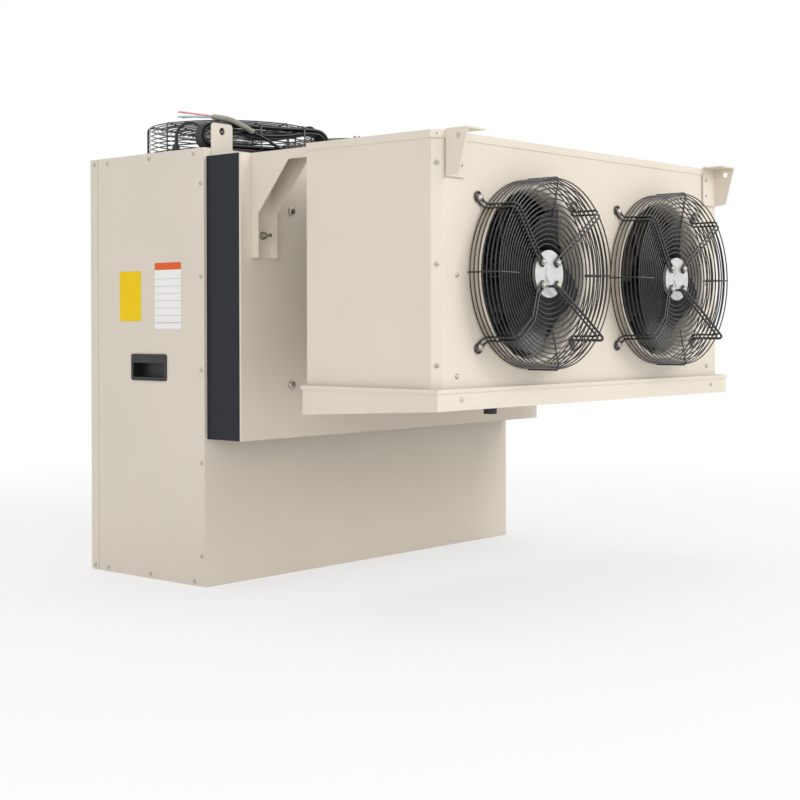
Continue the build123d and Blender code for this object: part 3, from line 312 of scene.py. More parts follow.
def joined(name, meshes, place):
    shaped = bmesh.new()
    for mesh in meshes:
        shaped.from_mesh(mesh)
    bmesh.ops.transform(shaped, matrix=place, verts=shaped.verts)
    return meshOf(name, shaped)


def newTree(name, sockets):
    tree = bpy.data.node_groups.new(name, "GeometryNodeTree")
    for label, kind in sockets.items():
        tree.interface.new_socket(label, in_out="INPUT", socket_type="NodeSocket" + kind)
    tree.interface.new_socket("Geometry", in_out="OUTPUT", socket_type="NodeSocketGeometry")
    given = tree.nodes.new("NodeGroupInput").outputs
    return tree, given, tree.nodes.new("NodeGroupOutput").inputs["Geometry"]


def closeTree(tree, geometry, output, material):
    # every tree ends in realised instances with their material
    realise = tree.nodes.new("GeometryNodeRealizeInstances")
    paint = tree.nodes.new("GeometryNodeSetMaterial")
    tree.links.new(geometry, realise.inputs["Geometry"])
    tree.links.new(realise.outputs["Geometry"], paint.inputs["Geometry"])
    tree.links.new(material, paint.inputs["Material"])
    tree.links.new(paint.outputs["Geometry"], output)


def grow(name, tree, values, seed=None):
    carrier = addObject(name + "Carrier", seed or bpy.data.meshes.new(name + "Seed"))
    modifier = carrier.modifiers.new("growth", "NODES")
    modifier.node_group = tree
    for socket in tree.interface.items_tree:
        if socket.in_out == "INPUT" and socket.name in values:
            modifier[socket.identifier] = values[socket.name]
    graph = bpy.context.evaluated_depsgraph_get()
    mesh = bpy.data.meshes.new_from_object(carrier.evaluated_get(graph), depsgraph=graph)
    carrier.modifiers.remove(modifier)
    bpy.data.objects.remove(carrier)
    mesh.name = name
    return mesh


# geometry node trees for what repeats


def ringStackTree():
    # rings of round wire along a line, each larger or smaller than the one before
    tree, given, output = newTree("ringStack", {
        "Count": "Int", "First Radius": "Float", "Radius Step": "Float", "First Height": "Float",
        "Height Step": "Float", "Wire Radius": "Float", "Material": "Material",
    })
    add, link = tree.nodes.new, tree.links.new
    start, step = add("ShaderNodeCombineXYZ"), add("ShaderNodeCombineXYZ")
    link(given["First Height"], start.inputs["Z"])
    link(given["Height Step"], step.inputs["Z"])
    line = add("GeometryNodeMeshLine")
    link(given["Count"], line.inputs["Count"])
    link(start.outputs[0], line.inputs["Start Location"])
    link(step.outputs[0], line.inputs["Offset"])
    index, grown = add("GeometryNodeInputIndex"), add("ShaderNodeMath")
    grown.operation = "MULTIPLY_ADD"
    link(index.outputs[0], grown.inputs[0])
    link(given["Radius Step"], grown.inputs[1])
    link(given["First Radius"], grown.inputs[2])
    scale = add("ShaderNodeCombineXYZ")
    link(grown.outputs[0], scale.inputs["X"])
    link(grown.outputs[0], scale.inputs["Y"])
    scale.inputs["Z"].default_value = 1.0
    circle, profile = add("GeometryNodeCurvePrimitiveCircle"), add("GeometryNodeCurvePrimitiveCircle")
    circle.inputs["Resolution"].default_value = 88
    circle.inputs["Radius"].default_value = 1.0
    profile.inputs["Resolution"].default_value = 8
    link(given["Wire Radius"], profile.inputs["Radius"])
    spread = add("GeometryNodeInstanceOnPoints")
    link(line.outputs["Mesh"], spread.inputs["Points"])
    link(circle.outputs["Curve"], spread.inputs["Instance"])
    link(scale.outputs[0], spread.inputs["Scale"])
    realise, sweep = add("GeometryNodeRealizeInstances"), add("GeometryNodeCurveToMesh")
    link(spread.outputs["Instances"], realise.inputs["Geometry"])
    link(realise.outputs["Geometry"], sweep.inputs["Curve"])
    link(profile.outputs["Curve"], sweep.inputs["Profile Curve"])
    closeTree(tree, sweep.outputs["Mesh"], output, given["Material"])
    return tree


def bentWireTree():
    # round wire along every chain of edges, with rounded bends
    tree, given, output = newTree("bentWire", {
        "Geometry": "Geometry", "Wire Radius": "Float", "Bend Radius": "Float", "Material": "Material",
    })
    add, link = tree.nodes.new, tree.links.new
    route, fillet = add("GeometryNodeMeshToCurve"), add("GeometryNodeFilletCurve")
    link(given["Geometry"], route.inputs["Mesh"])
    if "Mode" in fillet.inputs:
        fillet.inputs["Mode"].default_value = "Poly"
    else:
        fillet.mode = "POLY"
    fillet.inputs["Count"].default_value = 5
    fillet.inputs["Limit Radius"].default_value = True
    link(route.outputs["Curve"], fillet.inputs["Curve"])
    link(given["Bend Radius"], fillet.inputs["Radius"])
    profile, sweep = add("GeometryNodeCurvePrimitiveCircle"), add("GeometryNodeCurveToMesh")
    profile.inputs["Resolution"].default_value = 10
    link(given["Wire Radius"], profile.inputs["Radius"])
    sweep.inputs["Fill Caps"].default_value = True
    link(fillet.outputs["Curve"], sweep.inputs["Curve"])
    link(profile.outputs["Curve"], sweep.inputs["Profile Curve"])
    closeTree(tree, sweep.outputs["Mesh"], output, given["Material"])
    return tree


def headsTree():
    # one fastener head on every point, standing along the point's facing
    tree, given, output = newTree("fastenerHeads", {
        "Geometry": "Geometry", "Head": "Object", "Material": "Material",
    })
    add, link = tree.nodes.new, tree.links.new
    facing = add("GeometryNodeInputNamedAttribute")
    facing.data_type = "FLOAT_VECTOR"
    facing.inputs["Name"].default_value = "facing"
    turn = add("FunctionNodeAlignRotationToVector")
    turn.axis = "Z"
    link(facing.outputs["Attribute"], turn.inputs["Vector"])
    head, spread = add("GeometryNodeObjectInfo"), add("GeometryNodeInstanceOnPoints")
    link(given["Head"], head.inputs["Object"])
    link(given["Geometry"], spread.inputs["Points"])
    link(head.outputs["Geometry"], spread.inputs["Instance"])
    link(turn.outputs["Rotation"], spread.inputs["Rotation"])
    closeTree(tree, spread.outputs["Instances"], output, given["Material"])
    return tree


def finPackTree():
    # thin plates side by side
    tree, given, output = newTree("finPack", {
        "Count": "Int", "First Place": "Vector", "Pitch": "Float",
        "Plate Size": "Vector", "Material": "Material",
    })
    add, link = tree.nodes.new, tree.links.new
    step, line = add("ShaderNodeCombineXYZ"), add("GeometryNodeMeshLine")
    link(given["Pitch"], step.inputs["X"])
    link(given["Count"], line.inputs["Count"])
    link(given["First Place"], line.inputs["Start Location"])
    link(step.outputs[0], line.inputs["Offset"])
    plate, spread = add("GeometryNodeMeshCube"), add("GeometryNodeInstanceOnPoints")
    link(given["Plate Size"], plate.inputs["Size"])
    link(line.outputs["Mesh"], spread.inputs["Points"])
    link(plate.outputs["Mesh"], spread.inputs["Instance"])
    closeTree(tree, spread.outputs["Instances"], output, given["Material"])
    return tree


ringStack, bentWire, fastenerHeads, finPack = ringStackTree(), bentWireTree(), headsTree(), finPackTree()


def chains(name, routes):
    # a mesh of open edge chains for the bent wire tree
    mesh = bpy.data.meshes.new(name)
    points, edges = [], []
    for route in routes:
        edges += [(len(points) + i, len(points) + i + 1) for i in range(len(route) - 1)]
        points += [tuple(point) for point in route]
    mesh.from_pydata(points, edges, [])
    return mesh


# wire guards of the four fans

faceAhead = 0.0163
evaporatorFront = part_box("evaporator_left_side")[0].y - faceAhead
fanSeats = {
    "evaporator_left": ((-0.2554, evaporatorFront, 0.7012), "front"),
    "evaporator_right": ((0.2554, evaporatorFront, 0.7012), "front"),
    "condenser_left": ((-0.290, 0.0, 0.998), "top"),
    "condenser_right": ((0.170, 0.0, 0.998), "top"),
}


def seatMatrix(place, faces):
    turn = Matrix.Rotation(math.radians(90), 4, "X") if faces == "front" else Matrix.Identity(4)
    return Matrix.Translation(place) @ turn


guard = {
    "radius": 0.1985, "wire": 0.00155, "sideRings": 8, "sideFirst": 0.004, "rimHeight": 0.0795,
    "faceRings": 13, "innerRadius": 0.063, "hubHeight": 0.0535, "tieReach": 0.118,
    "armWire": 0.0023, "armSpread": 0.011, "screwX": 0.167, "screwY": 0.152, "boltRadius": 0.036,
    "armSeat": 0.0606, "armBend": 0.058, "armReach": 0.2017, "armFront": 0.0875, "bend": 0.012,
    "armStart": 0.008, "armFoot": 0.0032, "kink": (0.118, 0.071), "kinkSway": 0.020,
    "eyeRadius": 0.0095, "eyeShift": 0.004, "tieWire": 0.0017, "tieBend": 0.006, "screwSeat": 0.0056,
}


def armRoute(signX, signY, kinked):
    screw = Vector((signX * guard["screwX"], signY * guard["screwY"], 0))
    along = screw.normalized()
    across = Vector((-along.y, along.x, 0))
    half = guard["armSpread"] / 2
    start, seat = guard["boltRadius"] - guard["armStart"], guard["armSeat"]
    profile = [(start, seat), (guard["armBend"], seat)]
    sway = [0.0, 0.0]
    if kinked:
        profile.append(guard["kink"])
        sway.append(guard["kinkSway"])
    reach, foot = guard["armReach"], guard["armFoot"]
    profile += [(reach, guard["armFront"]), (reach, foot), (screw.length, foot)]
    sway += [0.0, 0.0, 0.0]
    near = [along * r + across * (half + s) + Vector((0, 0, h)) for (r, h), s in zip(profile, sway)]
    far = [along * r + across * (-half + s) + Vector((0, 0, h)) for (r, h), s in zip(profile, sway)]
    # the eye round the fixing screw, wider than the two wires
    eye, radius = [], guard["eyeRadius"]
    for step in range(-6, 7):
        angle = math.radians(step * 22)
        inward = along * (guard["eyeShift"] + radius * math.cos(angle))
        eye.append(screw + inward - across * radius * math.sin(angle) + Vector((0, 0, foot)))
    return near[:-1] + eye + far[:-1][::-1]


def tieRoute(angle):
    outward = Vector((math.cos(angle), math.sin(angle), 0))
    radius = guard["radius"] + guard["wire"] * 2
    slope = (guard["rimHeight"] - guard["hubHeight"]) / (guard["radius"] - guard["innerRadius"])
    dish = guard["hubHeight"] + (guard["tieReach"] - guard["innerRadius"]) * slope
    lift = guard["wire"] * 2
    return [
        outward * radius + Vector((0, 0, 0.002)),
        outward * radius + Vector((0, 0, guard["rimHeight"] + lift)),
        outward * guard["tieReach"] + Vector((0, 0, dish + lift)),
    ]


def buildGuard(name):
    place, faces = fanSeats[name]
    wirePaint = finishes["black_wire"]
    side = grow(name + "SideRings", ringStack, {
        "Count": guard["sideRings"], "First Radius": guard["radius"], "Radius Step": 0.0,
        "First Height": guard["sideFirst"], "Wire Radius": guard["wire"], "Material": wirePaint,
        "Height Step": (guard["rimHeight"] - guard["sideFirst"]) / (guard["sideRings"] - 1),
    })
    face = grow(name + "FaceRings", ringStack, {
        "Count": guard["faceRings"], "First Radius": guard["innerRadius"], "Wire Radius": guard["wire"],
        "Radius Step": (guard["radius"] - guard["innerRadius"]) / guard["faceRings"],
        "First Height": guard["hubHeight"], "Material": wirePaint,
        "Height Step": (guard["rimHeight"] - guard["hubHeight"]) / guard["faceRings"],
    })
    ties = grow(name + "Ties", bentWire, {
        "Wire Radius": guard["tieWire"], "Bend Radius": guard["tieBend"], "Material": wirePaint,
    }, chains(name + "TieRoutes", [tieRoute(math.radians(90 * quarter)) for quarter in range(4)]))
    corners = [(-1, 1), (1, 1), (1, -1), (-1, -1)]
    arms = grow(name + "Arms", bentWire, {
        "Wire Radius": guard["armWire"], "Bend Radius": guard["bend"], "Material": wirePaint,
    }, chains(name + "ArmRoutes", [armRoute(x, y, (x, y) == (-1, -1)) for x, y in corners]))
    mesh = joined(name + "Guard", [side, face, ties, arms], seatMatrix(place, faces))
    smooth(mesh, 60)
    piece = newPiece(name + "WireGuard", mesh, "black_wire")
    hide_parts(name + "_guard")


for fanName in fanSeats:
    buildGuard(fanName)
print("wire guards built")

# fastener heads

headLooks = {
    "panHead": {"radius": 0.005, "height": 0.0028, "washer": 0.0, "cross": 0.0009},
    "armScrew": {"radius": 0.0064, "height": 0.0058, "washer": 0.0082, "cross": 0.0},
    "flangeScrew": {"radius": 0.0056, "height": 0.0034, "washer": 0.0, "cross": 0.0009},
    "hubBolt": {"radius": 0.0062, "height": 0.0058, "washer": 0.0075, "cross": 0.0},
}


def headMesh(name, look):
    # a turned head, its cross recess pressed into the dome
    shaped = bmesh.new()
    rings = [(0.0, 1.0), (0.25, 0.98), (0.5, 0.9), (0.75, 0.72), (0.95, 0.4), (1.0, 0.0)]
    if look["washer"]:
        share = look["washer"] / look["radius"]
        rings = [(r, 0.25 + 0.75 * h) for r, h in rings] + [(share, 0.22), (share, 0.0)]
    count = 24
    loops = []
    for share, lift in rings[1:]:
        loop = []
        for index in range(count):
            angle = 2 * math.pi * index / count
            x, y = look["radius"] * share * math.cos(angle), look["radius"] * share * math.sin(angle)
            z = look["height"] * lift
            inCross = share <= 0.5 and index % (count // 4) == 0
            loop.append(shaped.verts.new((x, y, z - (look["cross"] if inCross else 0.0))))
        loops.append(loop)
    centre = shaped.verts.new((0, 0, look["height"] - look["cross"]))
    for index in range(count):
        shaped.faces.new((centre, loops[0][index], loops[0][(index + 1) % count]))
        for inner, outer in zip(loops, loops[1:]):
            following = (index + 1) % count
            shaped.faces.new((inner[index], outer[index], outer[following], inner[following]))
    shaped.faces.new(list(reversed(loops[-1])))
    mesh = meshOf(name, shaped)
    smooth(mesh, 40)
    return mesh


def placeHeads(name, lookName, places, slotName, body="unit"):
    head = addObject(lookName + "Head", headMesh(lookName, headLooks[lookName]))
    points = bpy.data.meshes.new(name + "Points")
    points.from_pydata([tuple(place) for place, facing in places], [], [])
    attribute = points.attributes.new("facing", "FLOAT_VECTOR", "POINT")
    attribute.data.foreach_set("vector", [c for place, facing in places for c in facing])
    mesh = grow(name, fastenerHeads, {"Head": head, "Material": finishes[slotName]}, points)
    bpy.data.objects.remove(head)
    return newPiece(name, mesh, slotName, body)


screwRows = {
    "seat": 0.0003, "cabinetHalf": 0.559, "cabinetFront": -0.2085, "cabinetEdge": 0.0108,
    "alongSide": (0.036, 0.193, 0.350, 0.4015), "footAndLid": (0.0115, 0.986),
    "edgeHeights": (0.071, 0.2825, 0.494, 0.7055, 0.9175), "stripHeights": (0.514, 0.7155, 0.9165),
    "faceX": 0.491, "faceHeights": (0.4915, 0.695), "trayFront": 0.0127, "trayHeight": 0.4453,
    "lipHeight": 0.9735, "rearX": 0.5445, "rearY": -0.5312, "rearHeights": (0.5115, 0.7122, 0.9129),
    "bracketX": 0.4800, "bracketSeat": 0.0033, "bracketHeights": (0.9832, 0.9521, 0.9154),
    "bracketMiddle": 0.952, "bracketLean": 0.04, "stripSheet": 0.00255, "stripHalf": 0.008,
    "stripInset": 0.0007, "stripLift": 0.001, "lipLift": 0.0025,
}
frontY, edge = screwRows["cabinetFront"], screwRows["seat"]
sideWall = screwRows["cabinetHalf"] + edge
screwPlaces = []
for side in (-1, 1):
    outward = Vector((side, 0, 0))
    for along in screwRows["alongSide"]:
        for height in screwRows["footAndLid"]:
            screwPlaces.append((Vector((side * sideWall, frontY + along, height)), outward))
    for height in screwRows["edgeHeights"]:
        screwPlaces.append((Vector((side * sideWall, frontY + screwRows["cabinetEdge"], height)), outward))
stripNormal = {side: Vector((side, -1, 0)).normalized() for side in (-1, 1)}
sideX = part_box("evaporator_right_side")[1].x
for side in (-1, 1):
    cornerX = sideX - screwRows["stripSheet"] - screwRows["stripHalf"]
    cornerY = evaporatorFront + screwRows["stripHalf"] + screwRows["stripInset"]
    corner = Vector((side * cornerX, cornerY, 0))
    for height in screwRows["stripHeights"]:
        place = corner + stripNormal[side] * screwRows["stripLift"] + Vector((0, 0, height))
        screwPlaces.append((place, stripNormal[side]))
    faceX, trayFace = side * screwRows["faceX"], evaporatorFront - screwRows["trayFront"]
    for height in screwRows["faceHeights"]:
        screwPlaces.append((Vector((faceX, evaporatorFront - edge, height)), Vector((0, -1, 0))))
    screwPlaces.append((Vector((faceX, trayFace, screwRows["trayHeight"])), Vector((0, -1, 0))))
    lipCorner = corner + stripNormal[side] * screwRows["lipLift"] + Vector((0, 0, screwRows["lipHeight"]))
    screwPlaces.append((lipCorner, stripNormal[side]))
    for height in screwRows["rearHeights"]:
        place = Vector((side * screwRows["rearX"], screwRows["rearY"] + edge, height))
        screwPlaces.append((place, Vector((0, 1, 0))))
panelScrews = placeHeads("panelScrews", "panHead", screwPlaces, "zinc_steel")

armPlaces, hubPlaces = [], []
for fanName, (place, faces) in fanSeats.items():
    toWorld = seatMatrix(place, faces)
    outward = (toWorld.to_3x3() @ Vector((0, 0, 1))).normalized()
    for signX in (-1, 1):
        for signY in (-1, 1):
            screw = Vector((signX * guard["screwX"], signY * guard["screwY"], 0))
            armPlaces.append((toWorld @ (screw + Vector((0, 0, guard["screwSeat"]))), outward))
            lift = Vector((0, 0, guard["armSeat"] + guard["armWire"]))
            bolt = screw.normalized() * guard["boltRadius"] + lift
            hubPlaces.append((toWorld @ bolt, outward))
armScrews = placeHeads("armScrews", "armScrew", armPlaces, "zinc_steel")
hubBolts = placeHeads("hubBolts", "hubBolt", hubPlaces, "zinc_steel")

bracketPlaces = []
for side in (-1, 1):
    for height in screwRows["bracketHeights"]:
        # the row leans out a little downwards
        lean = (screwRows["bracketMiddle"] - height) * screwRows["bracketLean"]
        x = side * (screwRows["bracketX"] + lean)
        place = Vector((x, evaporatorFront - screwRows["bracketSeat"], height))
        bracketPlaces.append((place, Vector((0, -1, 0))))
bracketScrews = placeHeads("bracketScrews", "flangeScrew", bracketPlaces, "zinc_steel")
for heads in (panelScrews, armScrews, hubBolts):
    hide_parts("screws")
headCount = len(screwPlaces) + len(armPlaces) + len(hubPlaces) + len(bracketPlaces)
print("fasteners placed:", headCount)

# raised collars round the evaporator's fan openings
collar = {"bore": 0.1795, "foot": 0.1915, "seat": 0.0003, "height": 0.020, "lip": 0.0042,
          "sheet": 0.0012, "sides": 96}


def turnedRing(name, profile, sides, place):
    # a closed profile of radius and height turned round the fan's line
    shaped = bmesh.new()
    loops = []
    for radius, height in profile:
        loop = []
        for index in range(sides):
            angle = 2 * math.pi * index / sides
            loop.append(shaped.verts.new((radius * math.cos(angle), radius * math.sin(angle), height)))
        loops.append(loop)
    stitchLoops(shaped, loops)
    bmesh.ops.transform(shaped, matrix=place, verts=shaped.verts)
    mesh = meshOf(name, shaped)
    smooth(mesh, 40)
    return mesh


def collarProfile():
    # foot flange, rising wall and a rolled lip, one sheet thick
    bore, top, lip, sheet = collar["bore"], collar["height"], collar["lip"], collar["sheet"]
    foot, seat = collar["foot"], collar["seat"]
    inner = [(bore, seat)]
    for step in range(7):
        angle = math.radians(180 - step * 30)
        inner.append((bore + lip + lip * math.cos(angle), top - lip + lip * math.sin(angle)))
    outer = []
    for step in range(7):
        angle = math.radians(step * 30)
        reach = lip - sheet
        outer.append((bore + lip + reach * math.cos(angle), top - lip + reach * math.sin(angle)))
    return inner + outer + [(bore + sheet, seat + sheet), (foot, seat + sheet), (foot, seat)]


for fanName, (place, faces) in fanSeats.items():
    if faces == "front":
        ring = turnedRing(fanName + "Collar", collarProfile(), collar["sides"], seatMatrix(place, faces))
        newPiece(fanName + "OpeningCollar", ring, "cream_paint")
print("opening collars built")

# fin packs, with the tubes that run through them

finLook = {
    "pitch": 0.0042, "thickness": 0.0003, "tubePitch": 0.025, "tubeRadius": 0.0048,
    "columns": (0.28, 0.72),
}
for coilName in ("condenser", "evaporator"):
    low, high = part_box(coilName + "_fins")
    count = int((high.x - low.x) / finLook["pitch"])
    spare = (high.x - low.x - (count - 1) * finLook["pitch"]) / 2
    middle = (low + high) / 2
    plates = grow(coilName + "Plates", finPack, {
        "Count": count, "Pitch": finLook["pitch"], "Material": finishes["fin_aluminium"],
        "First Place": Vector((low.x + spare, middle.y, middle.z)),
        "Plate Size": Vector((finLook["thickness"], high.y - low.y, high.z - low.z)),
    })
    tubeRoutes = []
    rows = int((high.z - low.z) // finLook["tubePitch"])
    for row in range(rows):
        for column in finLook["columns"]:
            y = low.y + (high.y - low.y) * column
            z = low.z + (row + 0.5) * finLook["tubePitch"]
            tubeRoutes.append([(low.x, y, z), (high.x, y, z)])
    tubes = grow(coilName + "Tubes", bentWire, {
        "Wire Radius": finLook["tubeRadius"], "Bend Radius": 0.001, "Material": finishes["copper"],
    }, chains(coilName + "TubeRoutes", tubeRoutes))
    smooth(tubes, 40)
    fins = newPiece(coilName + "FinPack", plates, "fin_aluminium")
    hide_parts(coilName + "_fins")
    newPiece(coilName + "CoilTubes", tubes, "copper")
print("fin packs built")

# supply cable: lead from the gland, hank, and the loose end in its grey sleeve

cable = {
    "diameter": 0.007, "centre": Vector((-0.379, -0.211, 1.0313)), "turn": math.radians(15.8),
    "straight": 0.137, "outer": 0.0293, "inner": 0.0210,
    "layers": (-0.0165, -0.0090, -0.0015, 0.0060, 0.0165), "dipSeed": 7,
    "innerDip": (0.006, 0.029), "outerDip": (0.0, 0.0035), "lean": 0.03,
    "enter": ((-0.1205, 0.008, 0.0), (-0.115, -0.004, 0.001), (-0.100, -0.0125, 0.004),
              (-0.074, -0.0160, 0.010), (-0.045, -0.0165, 0.0170)),
    "leave": ((0.055, -0.0190, -0.0275), (0.028, -0.0240, -0.0200), (0.008, -0.0270, -0.0090)),
    "sleeveShare": 5, "sleeveRadius": 0.0062, "coreRadius": 0.0022, "coreSpread": 0.0040,
}
hankAlong = Vector((math.cos(cable["turn"]), -math.sin(cable["turn"]), 0))
hankAcross = Vector((math.sin(cable["turn"]), math.cos(cable["turn"]), 0))


def hankPoint(along, across, height):
    return cable["centre"] + hankAlong * along + hankAcross * across + Vector((0, 0, height))


leadRoute = [
    (-0.514, -0.0585, 1.0206), (-0.514, -0.0585, 1.046), (-0.510, -0.074, 1.066), (-0.500, -0.098, 1.071),
    (-0.489, -0.121, 1.060), (-0.484, -0.142, 1.044), (-0.4887, -0.1587, 1.034),
]
tailRoute = [
    (-0.396, -0.235, 1.031), (-0.425, -0.228, 1.043), (-0.459, -0.218, 1.060), (-0.485, -0.202, 1.072),
    (-0.511, -0.183, 1.074), (-0.533, -0.163, 1.076), (-0.546, -0.140, 1.079), (-0.549, -0.116, 1.081),
]


def hankTurns():
    # inner turns from front to rear, then the outer ones back to the front
    chance = random.Random(cable["dipSeed"])
    half = cable["straight"]
    places = [(cable["inner"], layer) for layer in cable["layers"]]
    places += [(cable["outer"], layer) for layer in cable["layers"][::-1]]
    points = [hankPoint(*place) for place in cable["enter"]]
    for turn, (size, layer) in enumerate(places):
        last = turn == len(places) - 1
        dips = cable["innerDip"] if size == cable["inner"] else cable["outerDip"]
        dip = chance.uniform(*dips)
        lean = chance.uniform(-cable["lean"], cable["lean"])
        for share in (-0.75, -0.45, -0.15, 0.15, 0.45, 0.75):
            if turn == 0 and share < -0.2:
                continue
            sag = dip * max(0.0, 1 - ((share - lean) / 0.8) ** 2)
            points.append(hankPoint(half * share, layer, size - sag))
        for degrees in (90, 55, 20, -20, -55, -90):
            angle = math.radians(degrees)
            reach = 1.0 + 0.06 * math.cos(angle)
            points.append(hankPoint(half + size * reach * math.cos(angle), layer, size * math.sin(angle)))
        for share in (0.6, 0.2, -0.2, -0.6):
            if last and share < 0.3:
                break
            points.append(hankPoint(half * share, layer, -size))
        if last:
            break
        nextSize, nextLayer = places[turn + 1]
        for degrees in (-90, -55, -20, 20, 55, 90):
            angle = math.radians(degrees)
            moved = (degrees + 90) / 180
            moved = moved * moved * (3 - 2 * moved)
            radius = size + (nextSize - size) * moved
            across = layer + (nextLayer - layer) * moved
            points.append(hankPoint(-half - radius * math.cos(angle), across, radius * math.sin(angle)))
    return points + [hankPoint(*place) for place in cable["leave"]]


def cableCurve(name, points, radius):
    curve = bpy.data.curves.new(name, "CURVE")
    curve.dimensions = "3D"
    curve.bevel_depth = radius
    curve.bevel_resolution = 3
    curve.use_fill_caps = True
    curve.resolution_u = 6
    spline = curve.splines.new("NURBS")
    spline.points.add(len(points) - 1)
    for knot, point in zip(spline.points, points):
        knot.co = (*point, 1.0)
    spline.order_u = 3
    spline.use_endpoint_u = True
    return addObject(name, curve)


def curveLength(piece):
    # length and points of a curve's own line
    bare = piece.copy()
    bare.data = piece.data.copy()
    bare.data.bevel_depth = 0.0
    bare.data.use_fill_caps = False
    bpy.context.scene.collection.objects.link(bare)
    graph = bpy.context.evaluated_depsgraph_get()
    mesh = bpy.data.meshes.new_from_object(bare.evaluated_get(graph), depsgraph=graph)
    line = [vertex.co.copy() for vertex in mesh.vertices]
    bpy.data.objects.remove(bare)
    return sum((b - a).length for a, b in zip(line, line[1:])), line


sleeveShare = cable["sleeveShare"]
cordRoute = leadRoute + hankTurns() + tailRoute[:sleeveShare]
cord = cableCurve("supplyCable", [Vector(point) for point in cordRoute], cable["diameter"] / 2)
cord.data.materials.append(finishes["cable_black"])
cordLength, cordLine = curveLength(cord)
print("cable length", round(cordLength, 3), "points", len(cord.data.splines[0].points))

sleeve = cableCurve("cableSleeve", [Vector(p) for p in tailRoute[1:sleeveShare]], cable["sleeveRadius"])
sleeve.data.materials.append(finishes["sleeve_grey"])
coreColours = {
    "White": (225, 228, 228), "Pink": (226, 146, 160), "Blue": (170, 205, 216), "Dark": (40, 36, 44),
}
cores = []
for index, (coreName, colour) in enumerate(coreColours.items()):
    angle = math.radians(45 + 90 * index)
    drift = Vector((math.cos(angle), 0.0, math.sin(angle))) * cable["coreSpread"]
    route = [Vector(p) for p in tailRoute[sleeveShare - 1:]]
    fan = [route[0] + drift * 0.5] + [p + drift * (1.0 + 0.5 * i) for i, p in enumerate(route[1:])]
    core = cableCurve("core" + coreName, fan, cable["coreRadius"])
    core.data.materials.append(cableJacket("core" + coreName + "Jacket", paintColour(*colour), 0.4))
    cores.append(core)


tieLook = {
    "halfHeight": 0.0365, "halfDepth": 0.0225, "squareness": 0.45, "sides": 40, "halfWidth": 0.0018,
    "thickness": 0.0011, "meanReach": 0.03, "first": -0.015, "second": 0.100,
}


def tieBand(name, along):
    # a narrow tie pulled round the hank
    def squared(value):
        return math.copysign(abs(value) ** tieLook["squareness"], value)

    shape = []
    for index in range(tieLook["sides"]):
        angle = 2 * math.pi * index / tieLook["sides"]
        across, height = squared(math.cos(angle)), squared(math.sin(angle))
        shape.append((tieLook["halfDepth"] * across, tieLook["halfHeight"] * height))
    half, thick = tieLook["halfWidth"], tieLook["thickness"]
    shaped = bmesh.new()
    rings = []
    for offset, lift in ((-half, 0.0), (half, 0.0), (half, thick), (-half, thick)):
        grown = 1 + lift / tieLook["meanReach"]
        ring = []
        for across, height in shape:
            ring.append(shaped.verts.new(hankPoint(along + offset, across * grown, height * grown)))
        rings.append(ring)
    stitchLoops(shaped, rings)
    mesh = meshOf(name, shaped)
    smooth(mesh, 40)
    return newPiece(name, mesh, "cable_black")


ties = [tieBand("cableTieA", tieLook["first"]), tieBand("cableTieB", tieLook["second"])]
slotOf = [(cord, "cable_black"), (sleeve, "sleeve_grey")] + [(core, "cable_black") for core in cores]
for piece, slotName in slotOf:
    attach(piece, "unit")
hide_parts("cable_lead", "cable_hank", "cable_tail")
print("cable laid")

# plain stickers on the left side panel

stickerLook = {
    "panelX": -0.5592, "thickness": 0.0003, "corner": 0.003, "rampLow": 0.55, "rampHigh": 0.76,
    "rows": 7, "firstRow": 0.600, "rowPitch": 0.017, "lineWidth": 0.0009, "headerFoot": 0.7235,
}


def roundedPlate(name, corner, size):
    radius, thickness, x = stickerLook["corner"], stickerLook["thickness"], stickerLook["panelX"]
    shaped = bmesh.new()
    outline = []
    for cornerY, cornerZ, start in ((1, 1, 0), (0, 1, 90), (0, 0, 180), (1, 0, 270)):
        cy = corner[0] + (size[0] - radius if cornerY else radius)
        cz = corner[1] + (size[1] - radius if cornerZ else radius)
        for step in range(5):
            angle = math.radians(start + step * 22.5)
            outline.append((cy + radius * math.cos(angle), cz + radius * math.sin(angle)))
    front = [shaped.verts.new((x - thickness, y, z)) for y, z in outline]
    back = [shaped.verts.new((x, y, z)) for y, z in outline]
    shaped.faces.new(front)
    shaped.faces.new(list(reversed(back)))
    for index in range(len(outline)):
        following = (index + 1) % len(outline)
        shaped.faces.new((front[index], back[index], back[following], front[following]))
    bmesh.ops.recalc_face_normals(shaped, faces=shaped.faces)
    return meshOf(name, shaped)


def stickerFilm(name, colour, bands=()):
    # printed film: flat colour areas by height, faint creases
    material, tree, shader, coords = startFinish(name, colour, 0.42, specular=0.22)
    split = tree.nodes.new("ShaderNodeSeparateXYZ")
    tree.links.new(coords, split.inputs["Vector"])
    stops = [(0.0, colour)]
    low, high = stickerLook["rampLow"], stickerLook["rampHigh"]
    for z, bandColour in bands:
        stops.append(((z - low) / (high - low), bandColour))
    if bands:
        ramp = addRamp(tree, addRange(tree, split.outputs["Z"], 0, 1, low, high), stops)
        ramp.node.color_ramp.interpolation = "CONSTANT"
        tree.links.new(ramp, shader.inputs["Base Color"])
    else:
        mottle(tree, shader, coords, colour, 20.0, 0.05)
    addBump(tree, shader, addNoise(tree, coords, 18.0, 2), 0.15, 0.001)
    return material


